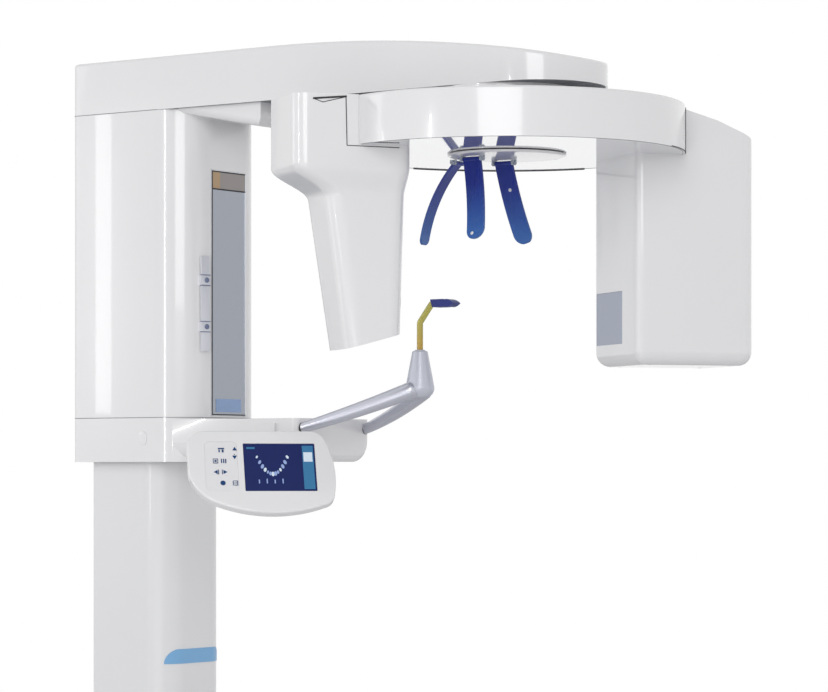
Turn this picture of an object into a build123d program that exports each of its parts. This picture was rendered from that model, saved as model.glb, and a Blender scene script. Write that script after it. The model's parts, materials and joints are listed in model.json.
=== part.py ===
"""A dental panoramic and cone beam x-ray unit: column, lift, arm, gantry and patient rest.

Millimetres, +Z up. The origin is on the floor under the middle of the column. +X runs
from the column towards the patient, and the arm lies over the XZ plane.
"""
import os
from math import atan2, cos, degrees, radians, sin, sqrt

from build123d import *

# Heights of the main levels
FLOOR_PLATE_T = 12.0
SHELF_BOTTOM = 1148.0
SHELF_TOP = 1232.0
CARRIAGE_BOTTOM = 1236.0
ARM_BOTTOM = 1845.0
ARM_TOP = 1950.0
ARM_NOSE_TOP = 1887.0
GANTRY_BOTTOM = 1725.0
GANTRY_TOP = 1815.0

# Lift travel below and above the height shown
LIFT_DOWN = 260.0
LIFT_UP = 240.0

# Column and carriage sections: flat back, large front corners
COLUMN_BACK = -82.0
COLUMN_FRONT = 110.0
COLUMN_HALF = 100.0
COLUMN_NOSE_R = 60.0
COLUMN_WALL = 6.0
COLUMN_SLOT_HALF = 50.0
COLUMN_TOP = ARM_BOTTOM - LIFT_DOWN - 10.0
CARRIAGE_BACK = -109.0
CARRIAGE_FRONT = 190.0
CARRIAGE_HALF = 130.0
CARRIAGE_NOSE_R = 85.0
SHELL_WALL = 4.0

# Arm plan
AXIS_X = 855.0
ARM_NOSE_X = 1053.0
ARM_TAPER_X = 400.0

# Gantry: P runs from the turning axis to the sensor, Q across it
GANTRY_ANGLE = 55.0
RING_R = 334.0
HUB_HOLE_R = 45.0
TUBE_OUT = 445.0
TUBE_IN = 216.0
TUBE_HALF = 85.0
SENSOR_IN = 222.0
SENSOR_OUT = 470.0
SENSOR_HALF = 105.0
SENSOR_BOTTOM = 1330.0
SENSOR_END_TOP = 1756.0

# Patient shelf, handles and bite rest
SHELF_FRONT = 452.0
SHELF_HALF = 120.0
REST_X = 656.0
REST_TOP = 1360.0
REST_BOTTOM = 1272.0

# Control panel: the direction it faces and its tilt back
PANEL_X = 461.0
PANEL_Y = -245.0
PANEL_Z = 1132.0
PANEL_FACING = -45.0
PANEL_TILT = 27.0
PANEL_T = 24.0
SCREEN_W = 136.0
SCREEN_H = 100.0

GAP = 0.3
FIT = 0.05

PARTS = {}


def keep(name, shape):
    """Store one finished piece under its node name."""
    PARTS[name] = shape
    return shape


def block(x0, x1, y0, y1, z0, z1):
    """A box from its low and high corners."""
    return Pos((x0 + x1) / 2, (y0 + y1) / 2, (z0 + z1) / 2) * Box(x1 - x0, y1 - y0, z1 - z0)


def drum(x, y, z0, z1, radius, bore=0.0):
    """A vertical cylinder, or a ring when it has a bore."""
    body = Pos(x, y, (z0 + z1) / 2) * Cylinder(radius, z1 - z0)
    if bore:
        body -= Pos(x, y, (z0 + z1) / 2) * Cylinder(bore, z1 - z0 + 2)
    return body


def prism(face, z0, z1):
    """A plan outline raised between two heights."""
    return Pos(0, 0, z0) * extrude(face, z1 - z0)


def nosed_plan(back, front, half, nose_r, back_r=10.0):
    """A plan with a flat back, small rear corners and large front corners."""
    face = Pos((back + front) / 2, 0) * Rectangle(front - back, 2 * half)
    rear = face.vertices().filter_by(lambda v: v.X < (back + front) / 2)
    face = fillet(rear, back_r)
    fore = face.vertices().filter_by(lambda v: v.X > front - 1)
    return fillet(fore, nose_r)


def column_plan(grow=0.0):
    return nosed_plan(COLUMN_BACK - grow, COLUMN_FRONT + grow, COLUMN_HALF + grow,
                      COLUMN_NOSE_R + grow, 8.0 + grow)


def carriage_plan(grow=0.0):
    return nosed_plan(CARRIAGE_BACK - grow, CARRIAGE_FRONT + grow, CARRIAGE_HALF + grow,
                      CARRIAGE_NOSE_R + grow, 14.0 + grow)


def side_profile(points):
    """A closed outline in the XZ plane, from straight runs and (middle, end) arcs."""
    edges = []
    here = points[0]
    for step in points[1:]:
        if isinstance(step[0], tuple):
            edges.append(ThreePointArc(here, step[0], step[1]))
            here = step[1]
        else:
            edges.append(Line(here, step))
            here = step
    edges.append(Line(here, points[0]))
    return Plane.XZ * make_face(edges)


# Floor plate and column
FLOOR_BACK = -140.0
FLOOR_FRONT = 140.0
FLOOR_HALF = 140.0
BOLT_X = 118.0
BOLT_Y = 118.0
BOLT_HOLE_R = 7.0
RAIL_X0, RAIL_X1 = -48.0, -33.0
RAIL_IN, RAIL_OUT = 82.0, COLUMN_HALF - COLUMN_WALL
RAIL_BOTTOM = 300.0
BLOCK_LEVELS = ((1160.0, 1220.0), (1268.0, 1328.0))
ACTUATOR_X = 44.0
ACTUATOR_R = 24.0
ROD_R = 14.0
ACTUATOR_TOP = 860.0
STRIP_BOTTOM, STRIP_TOP = 745.0, 774.0
STRIP_T = 1.2


def floor_plate():
    mid_x = (FLOOR_BACK + FLOOR_FRONT) / 2
    plan = Pos(mid_x, 0) * RectangleRounded(FLOOR_FRONT - FLOOR_BACK, 2 * FLOOR_HALF, 16)
    for sx in (-1, 1):
        for sy in (-1, 1):
            plan -= Pos(mid_x + sx * BOLT_X, sy * BOLT_Y) * Circle(BOLT_HOLE_R)
    plate = prism(plan, 0, FLOOR_PLATE_T)
    rim = plate.faces().sort_by(Axis.Z)[-1].outer_wire().edges()
    return chamfer(rim, 2.5)


def column_profile():
    """A D section extrusion, open along the back where the lift reaches in."""
    plan = column_plan() - column_plan(-COLUMN_WALL)
    slot = Pos(COLUMN_BACK, 0) * Rectangle(6 * COLUMN_WALL, 2 * COLUMN_SLOT_HALF)
    return prism(plan - slot, FLOOR_PLATE_T, COLUMN_TOP)


def rail(side):
    """A guide rail with the waist that its blocks grip."""
    deep = RAIL_OUT - RAIL_IN
    mid = (RAIL_X0 + RAIL_X1) / 2
    wide = RAIL_X1 - RAIL_X0
    plan = Pos(mid, (RAIL_IN + RAIL_OUT) / 2) * Rectangle(wide, deep)
    for sx in (-1, 1):
        plan -= Pos(mid + sx * wide / 2, RAIL_IN + deep * 0.45) * Rectangle(4, deep * 0.4)
    body = prism(plan, RAIL_BOTTOM, COLUMN_TOP - 5)
    return body if side > 0 else mirror(body, Plane.XZ)


def accent_strip():
    """A thin inlay round the column front, its two ends rounded on top."""
    band = prism(column_plan(STRIP_T) - column_plan(), STRIP_BOTTOM, STRIP_TOP)
    reach = COLUMN_HALF - 17
    level = STRIP_BOTTOM
    tall = STRIP_TOP - STRIP_BOTTOM
    with_ends = make_face([
        Line((-reach, level), (reach, level)),
        ThreePointArc((reach, level), (reach - 5, level + 0.6 * tall), (reach - 24, STRIP_TOP)),
        Line((reach - 24, STRIP_TOP), (24 - reach, STRIP_TOP)),
        ThreePointArc((24 - reach, STRIP_TOP), (5 - reach, level + 0.6 * tall), (-reach, level)),
    ])
    cutter = extrude(Plane.YZ * with_ends, COLUMN_FRONT + 20)
    return band & cutter


def actuator_tube():
    tube = drum(ACTUATOR_X, 0, FLOOR_PLATE_T, ACTUATOR_TOP, ACTUATOR_R)
    tube -= drum(ACTUATOR_X, 0, 30, ACTUATOR_TOP + 1, ROD_R + FIT)
    foot = drum(ACTUATOR_X, 0, FLOOR_PLATE_T, FLOOR_PLATE_T + 14, ACTUATOR_R + 9)
    foot -= drum(ACTUATOR_X, 0, FLOOR_PLATE_T, FLOOR_PLATE_T + 15, ACTUATOR_R - 4)
    collar = drum(ACTUATOR_X, 0, ACTUATOR_TOP - 26, ACTUATOR_TOP, ACTUATOR_R + 4, ACTUATOR_R - 4)
    return tube + foot + collar


def lift_motor():
    """The motor beside the foot of the actuator, with its gear case across to it."""
    motor = drum(ACTUATOR_X - 6, -62, FLOOR_PLATE_T + 42, FLOOR_PLATE_T + 170, 27)
    case = block(ACTUATOR_X - 22, ACTUATOR_X + 12, -84, -ACTUATOR_R - 4,
                 FLOOR_PLATE_T, FLOOR_PLATE_T + 42)
    nose = block(ACTUATOR_X - 12, ACTUATOR_X + 12, -ACTUATOR_R - 4, -ACTUATOR_R + 0.6,
                 FLOOR_PLATE_T + 16, FLOOR_PLATE_T + 40)
    foot_room = drum(ACTUATOR_X, 0, 0, FLOOR_PLATE_T + 15, ACTUATOR_R + 9)
    return motor + case + nose - drum(ACTUATOR_X, 0, 0, 100, ACTUATOR_R) - foot_room


def build_column():
    keep("floor_plate", floor_plate())
    keep("column_profile", column_profile())
    keep("guide_rail_left", rail(-1))
    keep("guide_rail_right", rail(1))
    keep("accent_strip", accent_strip())
    keep("actuator_tube", actuator_tube())
    keep("lift_motor", lift_motor())


# Carriage that rides on the column
MIRROR_HALF = 52.0
MIRROR_BOTTOM, MIRROR_TOP = 1243.0, 1725.0
MIRROR_T = 3.0
MIRROR_RIM = 3.0
CLIP_LEVELS = (1414.0, 1509.0)
SIDE_RAIL_BOTTOM, SIDE_RAIL_TOP = 1367.0, 1555.0


def carriage_frame():
    """Plates inside the column, a web out through its slot and a spine up to the arm."""
    low, high = BLOCK_LEVELS[0][0], BLOCK_LEVELS[-1][1]
    cross = block(-60, -52, -72, 72, low, high)
    for side in (-1, 1):
        for z0, z1 in BLOCK_LEVELS:
            cross += block(-52, -24, side * 68 - 4, side * 68 + 4, z0, z1)
    web = block(CARRIAGE_BACK + 10, -60, -34, -26, low, high)
    web += block(CARRIAGE_BACK + 10, -60, 26, 34, low, high)
    spine = block(CARRIAGE_BACK + 4, CARRIAGE_BACK + 10, -100, 100, low, ARM_BOTTOM)
    reach = block(-52, ACTUATOR_X + 20, -22, 22, high - 16, high)
    gusset = block(-52, -44, -22, 22, high - 60, high - 16)
    return cross + web + spine + reach + gusset


def slide_block(side, z0, z1):
    """One runner with the groove that clears its rail."""
    body = block(RAIL_X0 - 9, RAIL_X1 + 9, 72, RAIL_OUT - 5, z0, z1)
    body -= block(RAIL_X0 - GAP, RAIL_X1 + GAP, RAIL_IN - GAP, RAIL_OUT, z0 - 1, z1 + 1)
    return body if side > 0 else mirror(body, Plane.XZ)


def slide_blocks():
    return Compound(children=[slide_block(side, z0, z1)
                              for side in (-1, 1) for z0, z1 in BLOCK_LEVELS])


def actuator_rod():
    return drum(ACTUATOR_X, 0, 300, BLOCK_LEVELS[-1][1] - 16, ROD_R)


def carriage_shell():
    """The tall cover, with a window on its front for the mirror."""
    shell = prism(carriage_plan() - carriage_plan(-SHELL_WALL), CARRIAGE_BOTTOM, ARM_BOTTOM)
    shell -= block(CARRIAGE_BACK - 1, CARRIAGE_BACK + SHELL_WALL, -CARRIAGE_HALF + 26,
                   CARRIAGE_HALF - 26, CARRIAGE_BOTTOM - 1, ARM_BOTTOM + 1)
    room = 0.4
    pocket = block(CARRIAGE_FRONT - 2.4, CARRIAGE_FRONT + 1, -MIRROR_HALF - MIRROR_RIM - room,
                   MIRROR_HALF + MIRROR_RIM + room, MIRROR_BOTTOM - MIRROR_RIM - room,
                   MIRROR_TOP + MIRROR_RIM + room)
    return shell - pocket


def carriage_back():
    """The flat rear cover, with rows of air slots near its top and foot."""
    panel = block(CARRIAGE_BACK, CARRIAGE_BACK + SHELL_WALL, -CARRIAGE_HALF + 26.3,
                  CARRIAGE_HALF - 26.3, CARRIAGE_BOTTOM, ARM_BOTTOM)
    slots = [block(CARRIAGE_BACK - 1, CARRIAGE_BACK + SHELL_WALL - 1.5, -60, 60, z, z + 5)
             for start in (1290.0, 1720.0) for z in (start + 14 * i for i in range(6))]
    for slot in slots:
        panel -= slot
    return panel


def mirror_frame():
    """A thin bright rim in the carriage pocket."""
    x0 = CARRIAGE_FRONT - 2.4
    frame = block(x0, CARRIAGE_FRONT + 0.6, -MIRROR_HALF - MIRROR_RIM, MIRROR_HALF + MIRROR_RIM,
                  MIRROR_BOTTOM - MIRROR_RIM, MIRROR_TOP + MIRROR_RIM)
    return frame - block(x0 - 1, CARRIAGE_FRONT + 1, -MIRROR_HALF, MIRROR_HALF,
                         MIRROR_BOTTOM, MIRROR_TOP)


def carriage_mirror():
    x0 = CARRIAGE_FRONT - 2.4
    return block(x0, x0 + MIRROR_T - 1, -MIRROR_HALF + 0.2, MIRROR_HALF - 0.2,
                 MIRROR_BOTTOM + 0.2, MIRROR_TOP - 0.2)


RAIL_TURN = 17.0
RAIL_POINT_X = CARRIAGE_FRONT - CARRIAGE_NOSE_R * (1 - cos(radians(RAIL_TURN)))
RAIL_POINT_Y = -(CARRIAGE_HALF - CARRIAGE_NOSE_R) - CARRIAGE_NOSE_R * sin(radians(RAIL_TURN))


def on_carriage_corner(shape):
    """Place a piece whose X points out of the carriage beside the mirror."""
    return Pos(RAIL_POINT_X, RAIL_POINT_Y, 0) * Rot(0, 0, -RAIL_TURN) * shape


def side_rail():
    bar = block(7, 13, -7, 7, SIDE_RAIL_BOTTOM, SIDE_RAIL_TOP)
    bar = fillet(bar.edges().filter_by(Axis.Z), 2.4)
    return on_carriage_corner(bar)


def rail_clips():
    """Two dark hooks that stand off the carriage and hold the side rail."""
    clips = []
    for level in CLIP_LEVELS:
        clip = block(-0.6, 7, -5, 5, level - 9, level + 9)
        clip += block(4, 7, -10, 10, level - 6, level + 6)
        clips.append(on_carriage_corner(clip) - prism(carriage_plan(), 1300, 1600))
    return Compound(children=clips)


def build_carriage():
    keep("carriage_frame", carriage_frame())
    keep("slide_blocks", slide_blocks())
    keep("actuator_rod", actuator_rod())
    keep("carriage_shell", carriage_shell())
    keep("carriage_back", carriage_back())
    keep("mirror_frame", mirror_frame())
    keep("carriage_mirror", carriage_mirror())
    keep("side_rail", side_rail())
    keep("rail_clips", rail_clips())


# Lower shelf that reaches out under the patient's chin
SHELF_EDGE_R = 42.0
CAP_X, CAP_Z = 77.0, 1195.0


def shelf_box(inset=0.0):
    """The forward part of the shelf: rounded below, with soft front corners."""
    side = SHELF_HALF - inset
    low, high = SHELF_BOTTOM + inset, SHELF_TOP - inset
    edge = SHELF_EDGE_R - inset
    bend = edge * (1 - sqrt(0.5))
    outline = make_face([
        Line((-side, high), (-side, low + edge)),
        ThreePointArc((-side, low + edge), (-side + bend, low + bend), (-side + edge, low)),
        Line((-side + edge, low), (side - edge, low)),
        ThreePointArc((side - edge, low), (side - bend, low + bend), (side, low + edge)),
        Line((side, low + edge), (side, high)),
        Line((side, high), (-side, high)),
    ])
    reach = SHELF_FRONT - inset - 60
    body = Pos(60, 0, 0) * extrude(Plane.YZ * outline, reach)
    corners = body.edges().filter_by(Axis.Z).sort_by(Axis.X)[-2:]
    return fillet(corners, 14.0 - inset)


def shelf_shell():
    """The lower band of the carriage and the shelf in front of it, in one moulding."""
    shell = prism(carriage_plan(), SHELF_BOTTOM, CARRIAGE_BOTTOM) + shelf_box()
    shell -= prism(carriage_plan(-SHELL_WALL), SHELF_BOTTOM + SHELL_WALL, CARRIAGE_BOTTOM + 1)
    shell -= shelf_box(SHELL_WALL)
    shell -= prism(column_plan(4.0), SHELF_BOTTOM - 1, CARRIAGE_BOTTOM)
    slot = block(CARRIAGE_BACK + SHELL_WALL, COLUMN_BACK, -110, 110, SHELF_BOTTOM - 1, SHELF_BOTTOM + 5)
    return shell - slot


def shelf_beam():
    """The welded arm from the carriage spine to the handles, split round the column."""
    low, high = SHELF_BOTTOM + 34, SHELF_BOTTOM + 64
    beam = block(150, SHELF_FRONT - SHELL_WALL, -60, 60, low, high)
    for side in (-1, 1):
        beam += block(CARRIAGE_BACK + 10, 160, side * 110 - 4, side * 110 + 4, low, high)
        beam += block(150, 160, min(side * 114, side * 50), max(side * 114, side * 50), low, high)
        beam += block(CARRIAGE_BACK + 10, CARRIAGE_BACK + 16, min(side * 114, side * 34),
                      max(side * 114, side * 34), low, high)
    return beam - block(170, SHELF_FRONT - 14, -50, 50, low + 6, high - 6)


def shelf_cap():
    """An oval plug that covers a fixing on the near side."""
    cap = Pos(CAP_X, -CARRIAGE_HALF, CAP_Z) * Rot(90, 0, 0) * extrude(SlotOverall(27, 19, 90), 1.6)
    return fillet(cap.faces().sort_by(Axis.Y)[0].edges(), 0.8)


HANDLE_START = (SHELF_FRONT, -104.0, 1213.0)
HANDLE_END = (638.0, -20.0, 1296.0)
HANDLE_BOW = 7.0
HANDLE_STEPS = 4


def handle_point(t):
    """A point on the left handle's centre line, which bows up and outwards a little."""
    bow = 4 * t * (1 - t) * HANDLE_BOW
    x, y, z = (a + (b - a) * t for a, b in zip(HANDLE_START, HANDLE_END))
    return Vector(x, y - bow, z + bow)


def handle():
    """The left grip bar: a tapered oval, slim at the shelf and full at the rest."""
    sections = []
    for i in range(HANDLE_STEPS + 1):
        t = i / HANDLE_STEPS
        ahead = handle_point(t + 0.05) - handle_point(t - 0.05)
        if i == 0:
            ahead = Vector(1, 0, 0)
        place = Plane(origin=handle_point(t), z_dir=ahead, x_dir=Vector(ahead.Y, -ahead.X, 0))
        sections.append(place * Ellipse(8.0 + 4.0 * t, 9.0 + 8.0 * t))
    return loft(sections)


def rest_hub():
    """The cone that joins the handles and carries the bite rod."""
    mid_z = REST_BOTTOM + 22
    profile = make_face([
        Line((0, REST_BOTTOM), (17, REST_BOTTOM)),
        ThreePointArc((17, REST_BOTTOM), (25, REST_BOTTOM + 7), (27, mid_z)),
        Line((27, mid_z), (15, REST_TOP - 2)),
        Line((15, REST_TOP - 2), (12.5, REST_TOP)),
        Line((12.5, REST_TOP), (0, REST_TOP)),
        Line((0, REST_TOP), (0, REST_BOTTOM)),
    ])
    cone = Pos(REST_X, 0, 0) * revolve(Plane.XZ * profile, Axis.Z)
    return cone - drum(REST_X, 0, REST_TOP - 40, REST_TOP + 1, BITE_ROD_R)


BITE_ROD_R = 6.0
BITE_BEND_Z = 1414.0
BITE_END_X = 684.0
BITE_END_Z = 1450.0
BITE_TIP_X = 741.0


def bite_rod():
    """A bent rod that plugs into the rest and leans towards the mouth."""
    path = FilletPolyline((REST_X, 0, REST_TOP - 40), (REST_X, 0, BITE_BEND_Z),
                          (BITE_END_X, 0, BITE_END_Z), (BITE_END_X + 16, 0, BITE_END_Z), radius=10)
    return sweep(Plane(origin=path @ 0, z_dir=path % 0) * Circle(BITE_ROD_R), path=path)


def bite_tip():
    """A soft wedge that the teeth close on, with a groove across its top and foot."""
    start = BITE_END_X + 4
    outline = make_face([
        Line((start, BITE_END_Z + 7), (start + 30, BITE_END_Z + 7)),
        ThreePointArc((start + 30, BITE_END_Z + 7), (start + 46, BITE_END_Z + 4), (BITE_TIP_X, BITE_END_Z - 1)),
        ThreePointArc((BITE_TIP_X, BITE_END_Z - 1), (start + 46, BITE_END_Z - 6), (start + 40, BITE_END_Z - 8)),
        Line((start + 40, BITE_END_Z - 8), (start + 5, BITE_END_Z - 8)),
        Line((start + 5, BITE_END_Z - 8), (start, BITE_END_Z + 7)),
    ])
    wedge = extrude(Plane.XZ * outline, 13, both=True)
    wedge = fillet(wedge.edges().filter_by(Axis.Y).group_by(Axis.X)[0], 1.5)
    wedge -= Pos(start + 33, 0, BITE_END_Z + 9) * Rot(90, 0, 0) * Cylinder(4, 40)
    wedge -= Pos(start + 33, 0, BITE_END_Z - 10.5) * Rot(90, 0, 0) * Cylinder(4, 40)
    bore = Pos(BITE_END_X + 10, 0, BITE_END_Z) * Rot(0, 90, 0) * Cylinder(BITE_ROD_R, 12)
    return wedge - bore


def build_shelf():
    keep("shelf_shell", shelf_shell())
    keep("shelf_beam", shelf_beam())
    keep("shelf_cap", shelf_cap())
    hub = keep("rest_hub", rest_hub())
    left = keep("handle_left", handle() - hub)
    keep("handle_right", mirror(left, Plane.XZ))
    rod = keep("bite_rod", bite_rod())
    keep("bite_tip", bite_tip() - rod)


# Arm over the patient
ARM_HALF = CARRIAGE_HALF
NECK_FRONT = 362.0
NECK_DROP = 1800.0
BEARING_OUTER_R = 130.0
BEARING_R = 100.0
BEARING_INNER_R = 62.0
HUB_R = 36.0
BEAM_TOP = ARM_BOTTOM + 50.0
WHEEL_R = 92.0
BELT_LEVEL = 1868.0
BELT_HALF = 7.5
PULLEY_X, PULLEY_R = 560.0, 28.0


def arm_plan(grow=0.0):
    """Straight sides that turn into a half round nose."""
    half = ARM_HALF + grow
    face = Pos((CARRIAGE_BACK + ARM_NOSE_X) / 2, 0) * Rectangle(
        ARM_NOSE_X - CARRIAGE_BACK + 2 * grow, 2 * half)
    fore = face.vertices().filter_by(lambda v: v.X > 0)
    face = fillet(fore, half - 4.0)
    rear = face.vertices().filter_by(lambda v: v.X < 0)
    return fillet(rear, 14.0 + grow)


def arm_side(drop=0.0):
    """The side view of the arm: level over the column, then falling to the nose."""
    top = ARM_TOP - drop
    far = ARM_NOSE_X + 20
    run, fall = far - ARM_TAPER_X, ARM_TOP - ARM_NOSE_TOP + 4
    crown_r = (run ** 2 + fall ** 2) / (2 * fall)
    middle = (ARM_TAPER_X + run / 2, top - crown_r + sqrt(crown_r ** 2 - run ** 2 / 4))
    return side_profile([
        (CARRIAGE_BACK - 20, ARM_BOTTOM - 1), (far, ARM_BOTTOM - 1),
        (far, top - fall), (middle, (ARM_TAPER_X, top)), (CARRIAGE_BACK - 20, top)])


def arm_form(inset=0.0):
    body = prism(arm_plan(-inset), ARM_BOTTOM, ARM_TOP + 5)
    return body & extrude(arm_side(inset), ARM_HALF + 10, both=True)


def arm_shell():
    shell = arm_form()
    crown = shell.edges().filter_by(lambda e: (e @ 0.5).Z > ARM_BOTTOM + 25 and (e @ 0.5).X < ARM_NOSE_X - 5
                                    and e.length > 60)
    shell = fillet(crown, 7)
    return shell - arm_form(SHELL_WALL)


def arm_base_plate():
    """The steel plate that closes the arm below and carries the bearing."""
    plate = prism(arm_plan(-SHELL_WALL), ARM_BOTTOM, ARM_BOTTOM + 5)
    return plate - drum(AXIS_X, 0, ARM_BOTTOM - 1, ARM_BOTTOM + 6, BEARING_INNER_R - 6)


def arm_beam():
    """Two deep channels from the spine to the bearing, tied by plates."""
    low, high = ARM_BOTTOM + 5, BEAM_TOP
    beam = Part()
    for side in (-1, 1):
        channel = block(CARRIAGE_BACK + 10, AXIS_X + 110, side * 98 - 14, side * 98 + 14, low, high)
        channel -= block(CARRIAGE_BACK + 9, AXIS_X + 111, side * 93 - 14, side * 93 + 14, low + 5, high - 5)
        beam += channel
    for x in (CARRIAGE_BACK + 10, 330.0, AXIS_X + 104):
        beam += block(x, x + 6, -107, 107, low, high)
    return beam


def neck_cover():
    """The keel below the arm between the carriage and the turning gantry."""
    rise = ARM_BOTTOM - NECK_DROP
    profile = side_profile([
        (CARRIAGE_FRONT - 70, ARM_BOTTOM), (NECK_FRONT - 16, NECK_DROP),
        ((NECK_FRONT - 5, NECK_DROP + 5), (NECK_FRONT, NECK_DROP + 16)),
        (NECK_FRONT, ARM_BOTTOM)])
    keel = extrude(profile, ARM_HALF - 12, both=True)
    low = keel.edges().filter_by(lambda e: e.length > 150 and (e @ 0.5).Z < ARM_BOTTOM - 10)
    keel = fillet(low, rise * 0.35)
    keel -= prism(carriage_plan(), NECK_DROP - 10, ARM_BOTTOM + 1)
    keel -= block(CARRIAGE_FRONT + 14, NECK_FRONT - 12, -96, 96, NECK_DROP + 26, ARM_BOTTOM + 1)
    return keel


def hub_post():
    """The fixed post down the middle of the bearing, hung from a bridge on the arm beam."""
    post = drum(AXIS_X, 0, HEAD_DISC_TOP, BEAM_TOP + 6, HUB_R, HUB_R - 8)
    bridge = block(AXIS_X - 42, AXIS_X + 42, -112, 112, BEAM_TOP, BEAM_TOP + 6)
    return post + bridge - drum(AXIS_X, 0, BEAM_TOP - 1, BEAM_TOP + 7, HUB_R - 8)


def drive_belt():
    """The belt from the pulley to the wheel, with a hair of room so both can turn."""
    loops = []
    for grow in (GAP, GAP + 2.5):
        small = CenterArc((PULLEY_X, 0), PULLEY_R + grow, 90, 180)
        large = CenterArc((AXIS_X, 0), WHEEL_R + grow, -100, 200)
        loops.append(make_hull([small, large]))
    return prism(loops[1] - loops[0], BELT_LEVEL - BELT_HALF, BELT_LEVEL + BELT_HALF)


def gantry_motor():
    """The geared motor that stands on the arm plate behind the bearing."""
    bridge = block(PULLEY_X - 50, PULLEY_X + 50, -32, 32, ARM_BOTTOM + 5, BELT_LEVEL + 20)
    bridge -= block(PULLEY_X - 44, PULLEY_X + 44, -33, 33, ARM_BOTTOM, BELT_LEVEL + 14)
    case = drum(PULLEY_X, 0, BELT_LEVEL + 18, BELT_LEVEL + 58, 31)
    motor = bridge + case
    return motor - drum(PULLEY_X, 0, BELT_LEVEL, BELT_LEVEL + 30, 6 + FIT)


def drive_pulley():
    pulley = drum(PULLEY_X, 0, BELT_LEVEL - 8, BELT_LEVEL + 8, PULLEY_R)
    for z in (BELT_LEVEL - 10, BELT_LEVEL + 8):
        pulley += drum(PULLEY_X, 0, z, z + 2, PULLEY_R + 5)
    return pulley + drum(PULLEY_X, 0, BELT_LEVEL + 10, BELT_LEVEL + 29, 6)


def bearing_outer():
    ring = drum(AXIS_X, 0, GANTRY_TOP + 7, ARM_BOTTOM, BEARING_OUTER_R, BEARING_R)
    return chamfer(ring.edges().group_by(Axis.Z)[0], 1.5)


def build_arm():
    keep("arm_shell", arm_shell())
    keep("arm_base_plate", arm_base_plate())
    keep("arm_beam", arm_beam())
    keep("neck_cover", neck_cover())
    keep("hub_post", hub_post())
    keep("gantry_motor", gantry_motor())
    keep("drive_pulley", drive_pulley())
    keep("drive_belt", drive_belt())
    keep("bearing_outer", bearing_outer())


# Head supports under the gantry
HEAD_DISC_TOP = GANTRY_BOTTOM - 2.0
HEAD_DISC_T = 14.0
HEAD_DISC_R = 112.0
BLADE_T = 5.0
TEMPLE_TOP = (813.0, 54.0)
TEMPLE_TIP = (842.0, 86.0, 1560.0)
TEMPLE_W = 38.0
BROW_TOP_X = 744.0
BROW_W = 25.0
PIVOT_Z = HEAD_DISC_TOP - HEAD_DISC_T + 5.0
PIVOT_R = 3.0


def support_disc():
    """The fixed disc that carries the three head supports, slotted for their roots."""
    disc = drum(AXIS_X, 0, HEAD_DISC_TOP - HEAD_DISC_T, HEAD_DISC_TOP, HEAD_DISC_R)
    disc += block(BROW_TOP_X - 18, AXIS_X, -26, 26, HEAD_DISC_TOP - HEAD_DISC_T, HEAD_DISC_TOP)
    disc = fillet(disc.edges().group_by(Axis.Z)[0], 4)
    low = HEAD_DISC_TOP - HEAD_DISC_T - 1
    top = HEAD_DISC_TOP - 3
    for side in (-1, 1):
        y = side * TEMPLE_TOP[1]
        disc -= block(TEMPLE_TOP[0] - 21, TEMPLE_TOP[0] + 21, y - 12, y + 12, low, top)
    disc -= block(BROW_TOP_X - 12, BROW_TOP_X + 12, -15, 15, low, top)
    return disc - drum(AXIS_X, 0, low, top + 10, HUB_R - 8)


def blade(width, points, tip_r):
    """A bent strip: its line in the local XZ plane, its width along Y, a round tip."""
    top, mid, end = points
    line = ThreePointArc(top, mid, end)
    start_dir = (line % 0)
    normal = Vector(-start_dir.Y, start_dir.X, 0) * (BLADE_T / 2)
    end_dir = (line % 1)
    end_normal = Vector(-end_dir.Y, end_dir.X, 0) * (BLADE_T / 2)
    mid_dir = (line % 0.5)
    mid_normal = Vector(-mid_dir.Y, mid_dir.X, 0) * (BLADE_T / 2)
    mid_point = line @ 0.5
    first, last = Vector(*top), Vector(*end)
    outline = make_face([
        ThreePointArc(first + normal, mid_point + mid_normal, last + end_normal),
        Line(last + end_normal, last - end_normal),
        ThreePointArc(last - end_normal, mid_point - mid_normal, first - normal),
        Line(first - normal, first + normal),
    ])
    strip = extrude(Plane.XZ * outline, width / 2, both=True)
    deep = top[1] - end[1]
    plan = make_face([
        Line((-width / 2, end[1] + tip_r), (-width / 2, top[1] + 10)),
        Line((-width / 2, top[1] + 10), (width / 2, top[1] + 10)),
        Line((width / 2, top[1] + 10), (width / 2, end[1] + tip_r)),
        ThreePointArc((width / 2, end[1] + tip_r), (0, end[1] - 1), (-width / 2, end[1] + tip_r)),
    ])
    return strip & Plane.YZ * extrude(plan, deep, both=True)


def rooted(strip, width, turn):
    """Add the pivot eye to a leaned strip; the eye itself lies level."""
    eye = Rot(0, 0, turn) * Rot(90, 0, 0) * Cylinder(BLADE_T / 2 + 2, width)
    bore = Rot(0, 0, turn) * Rot(90, 0, 0) * Cylinder(PIVOT_R, width + 20)
    return strip - block(-60, 60, -60, 60, 0, 60) + eye - bore


def temple_blade(side):
    """A side support: it swings about an axis along X and leans back a little."""
    drop = TEMPLE_TIP[2] - PIVOT_Z
    spread = TEMPLE_TIP[1] - TEMPLE_TOP[1]
    strip = blade(TEMPLE_W, ((0, 0), (spread * 0.3, drop * 0.5), (spread, drop)), 17.0)
    lean = degrees(atan2(TEMPLE_TIP[0] - TEMPLE_TOP[0], -drop))
    leaned = rooted(Rot(0, -lean, 0) * Rot(0, 0, 90) * strip, TEMPLE_W, 90)
    placed = Pos(TEMPLE_TOP[0], TEMPLE_TOP[1], PIVOT_Z) * leaned
    return placed if side > 0 else mirror(placed, Plane.XZ)


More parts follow.
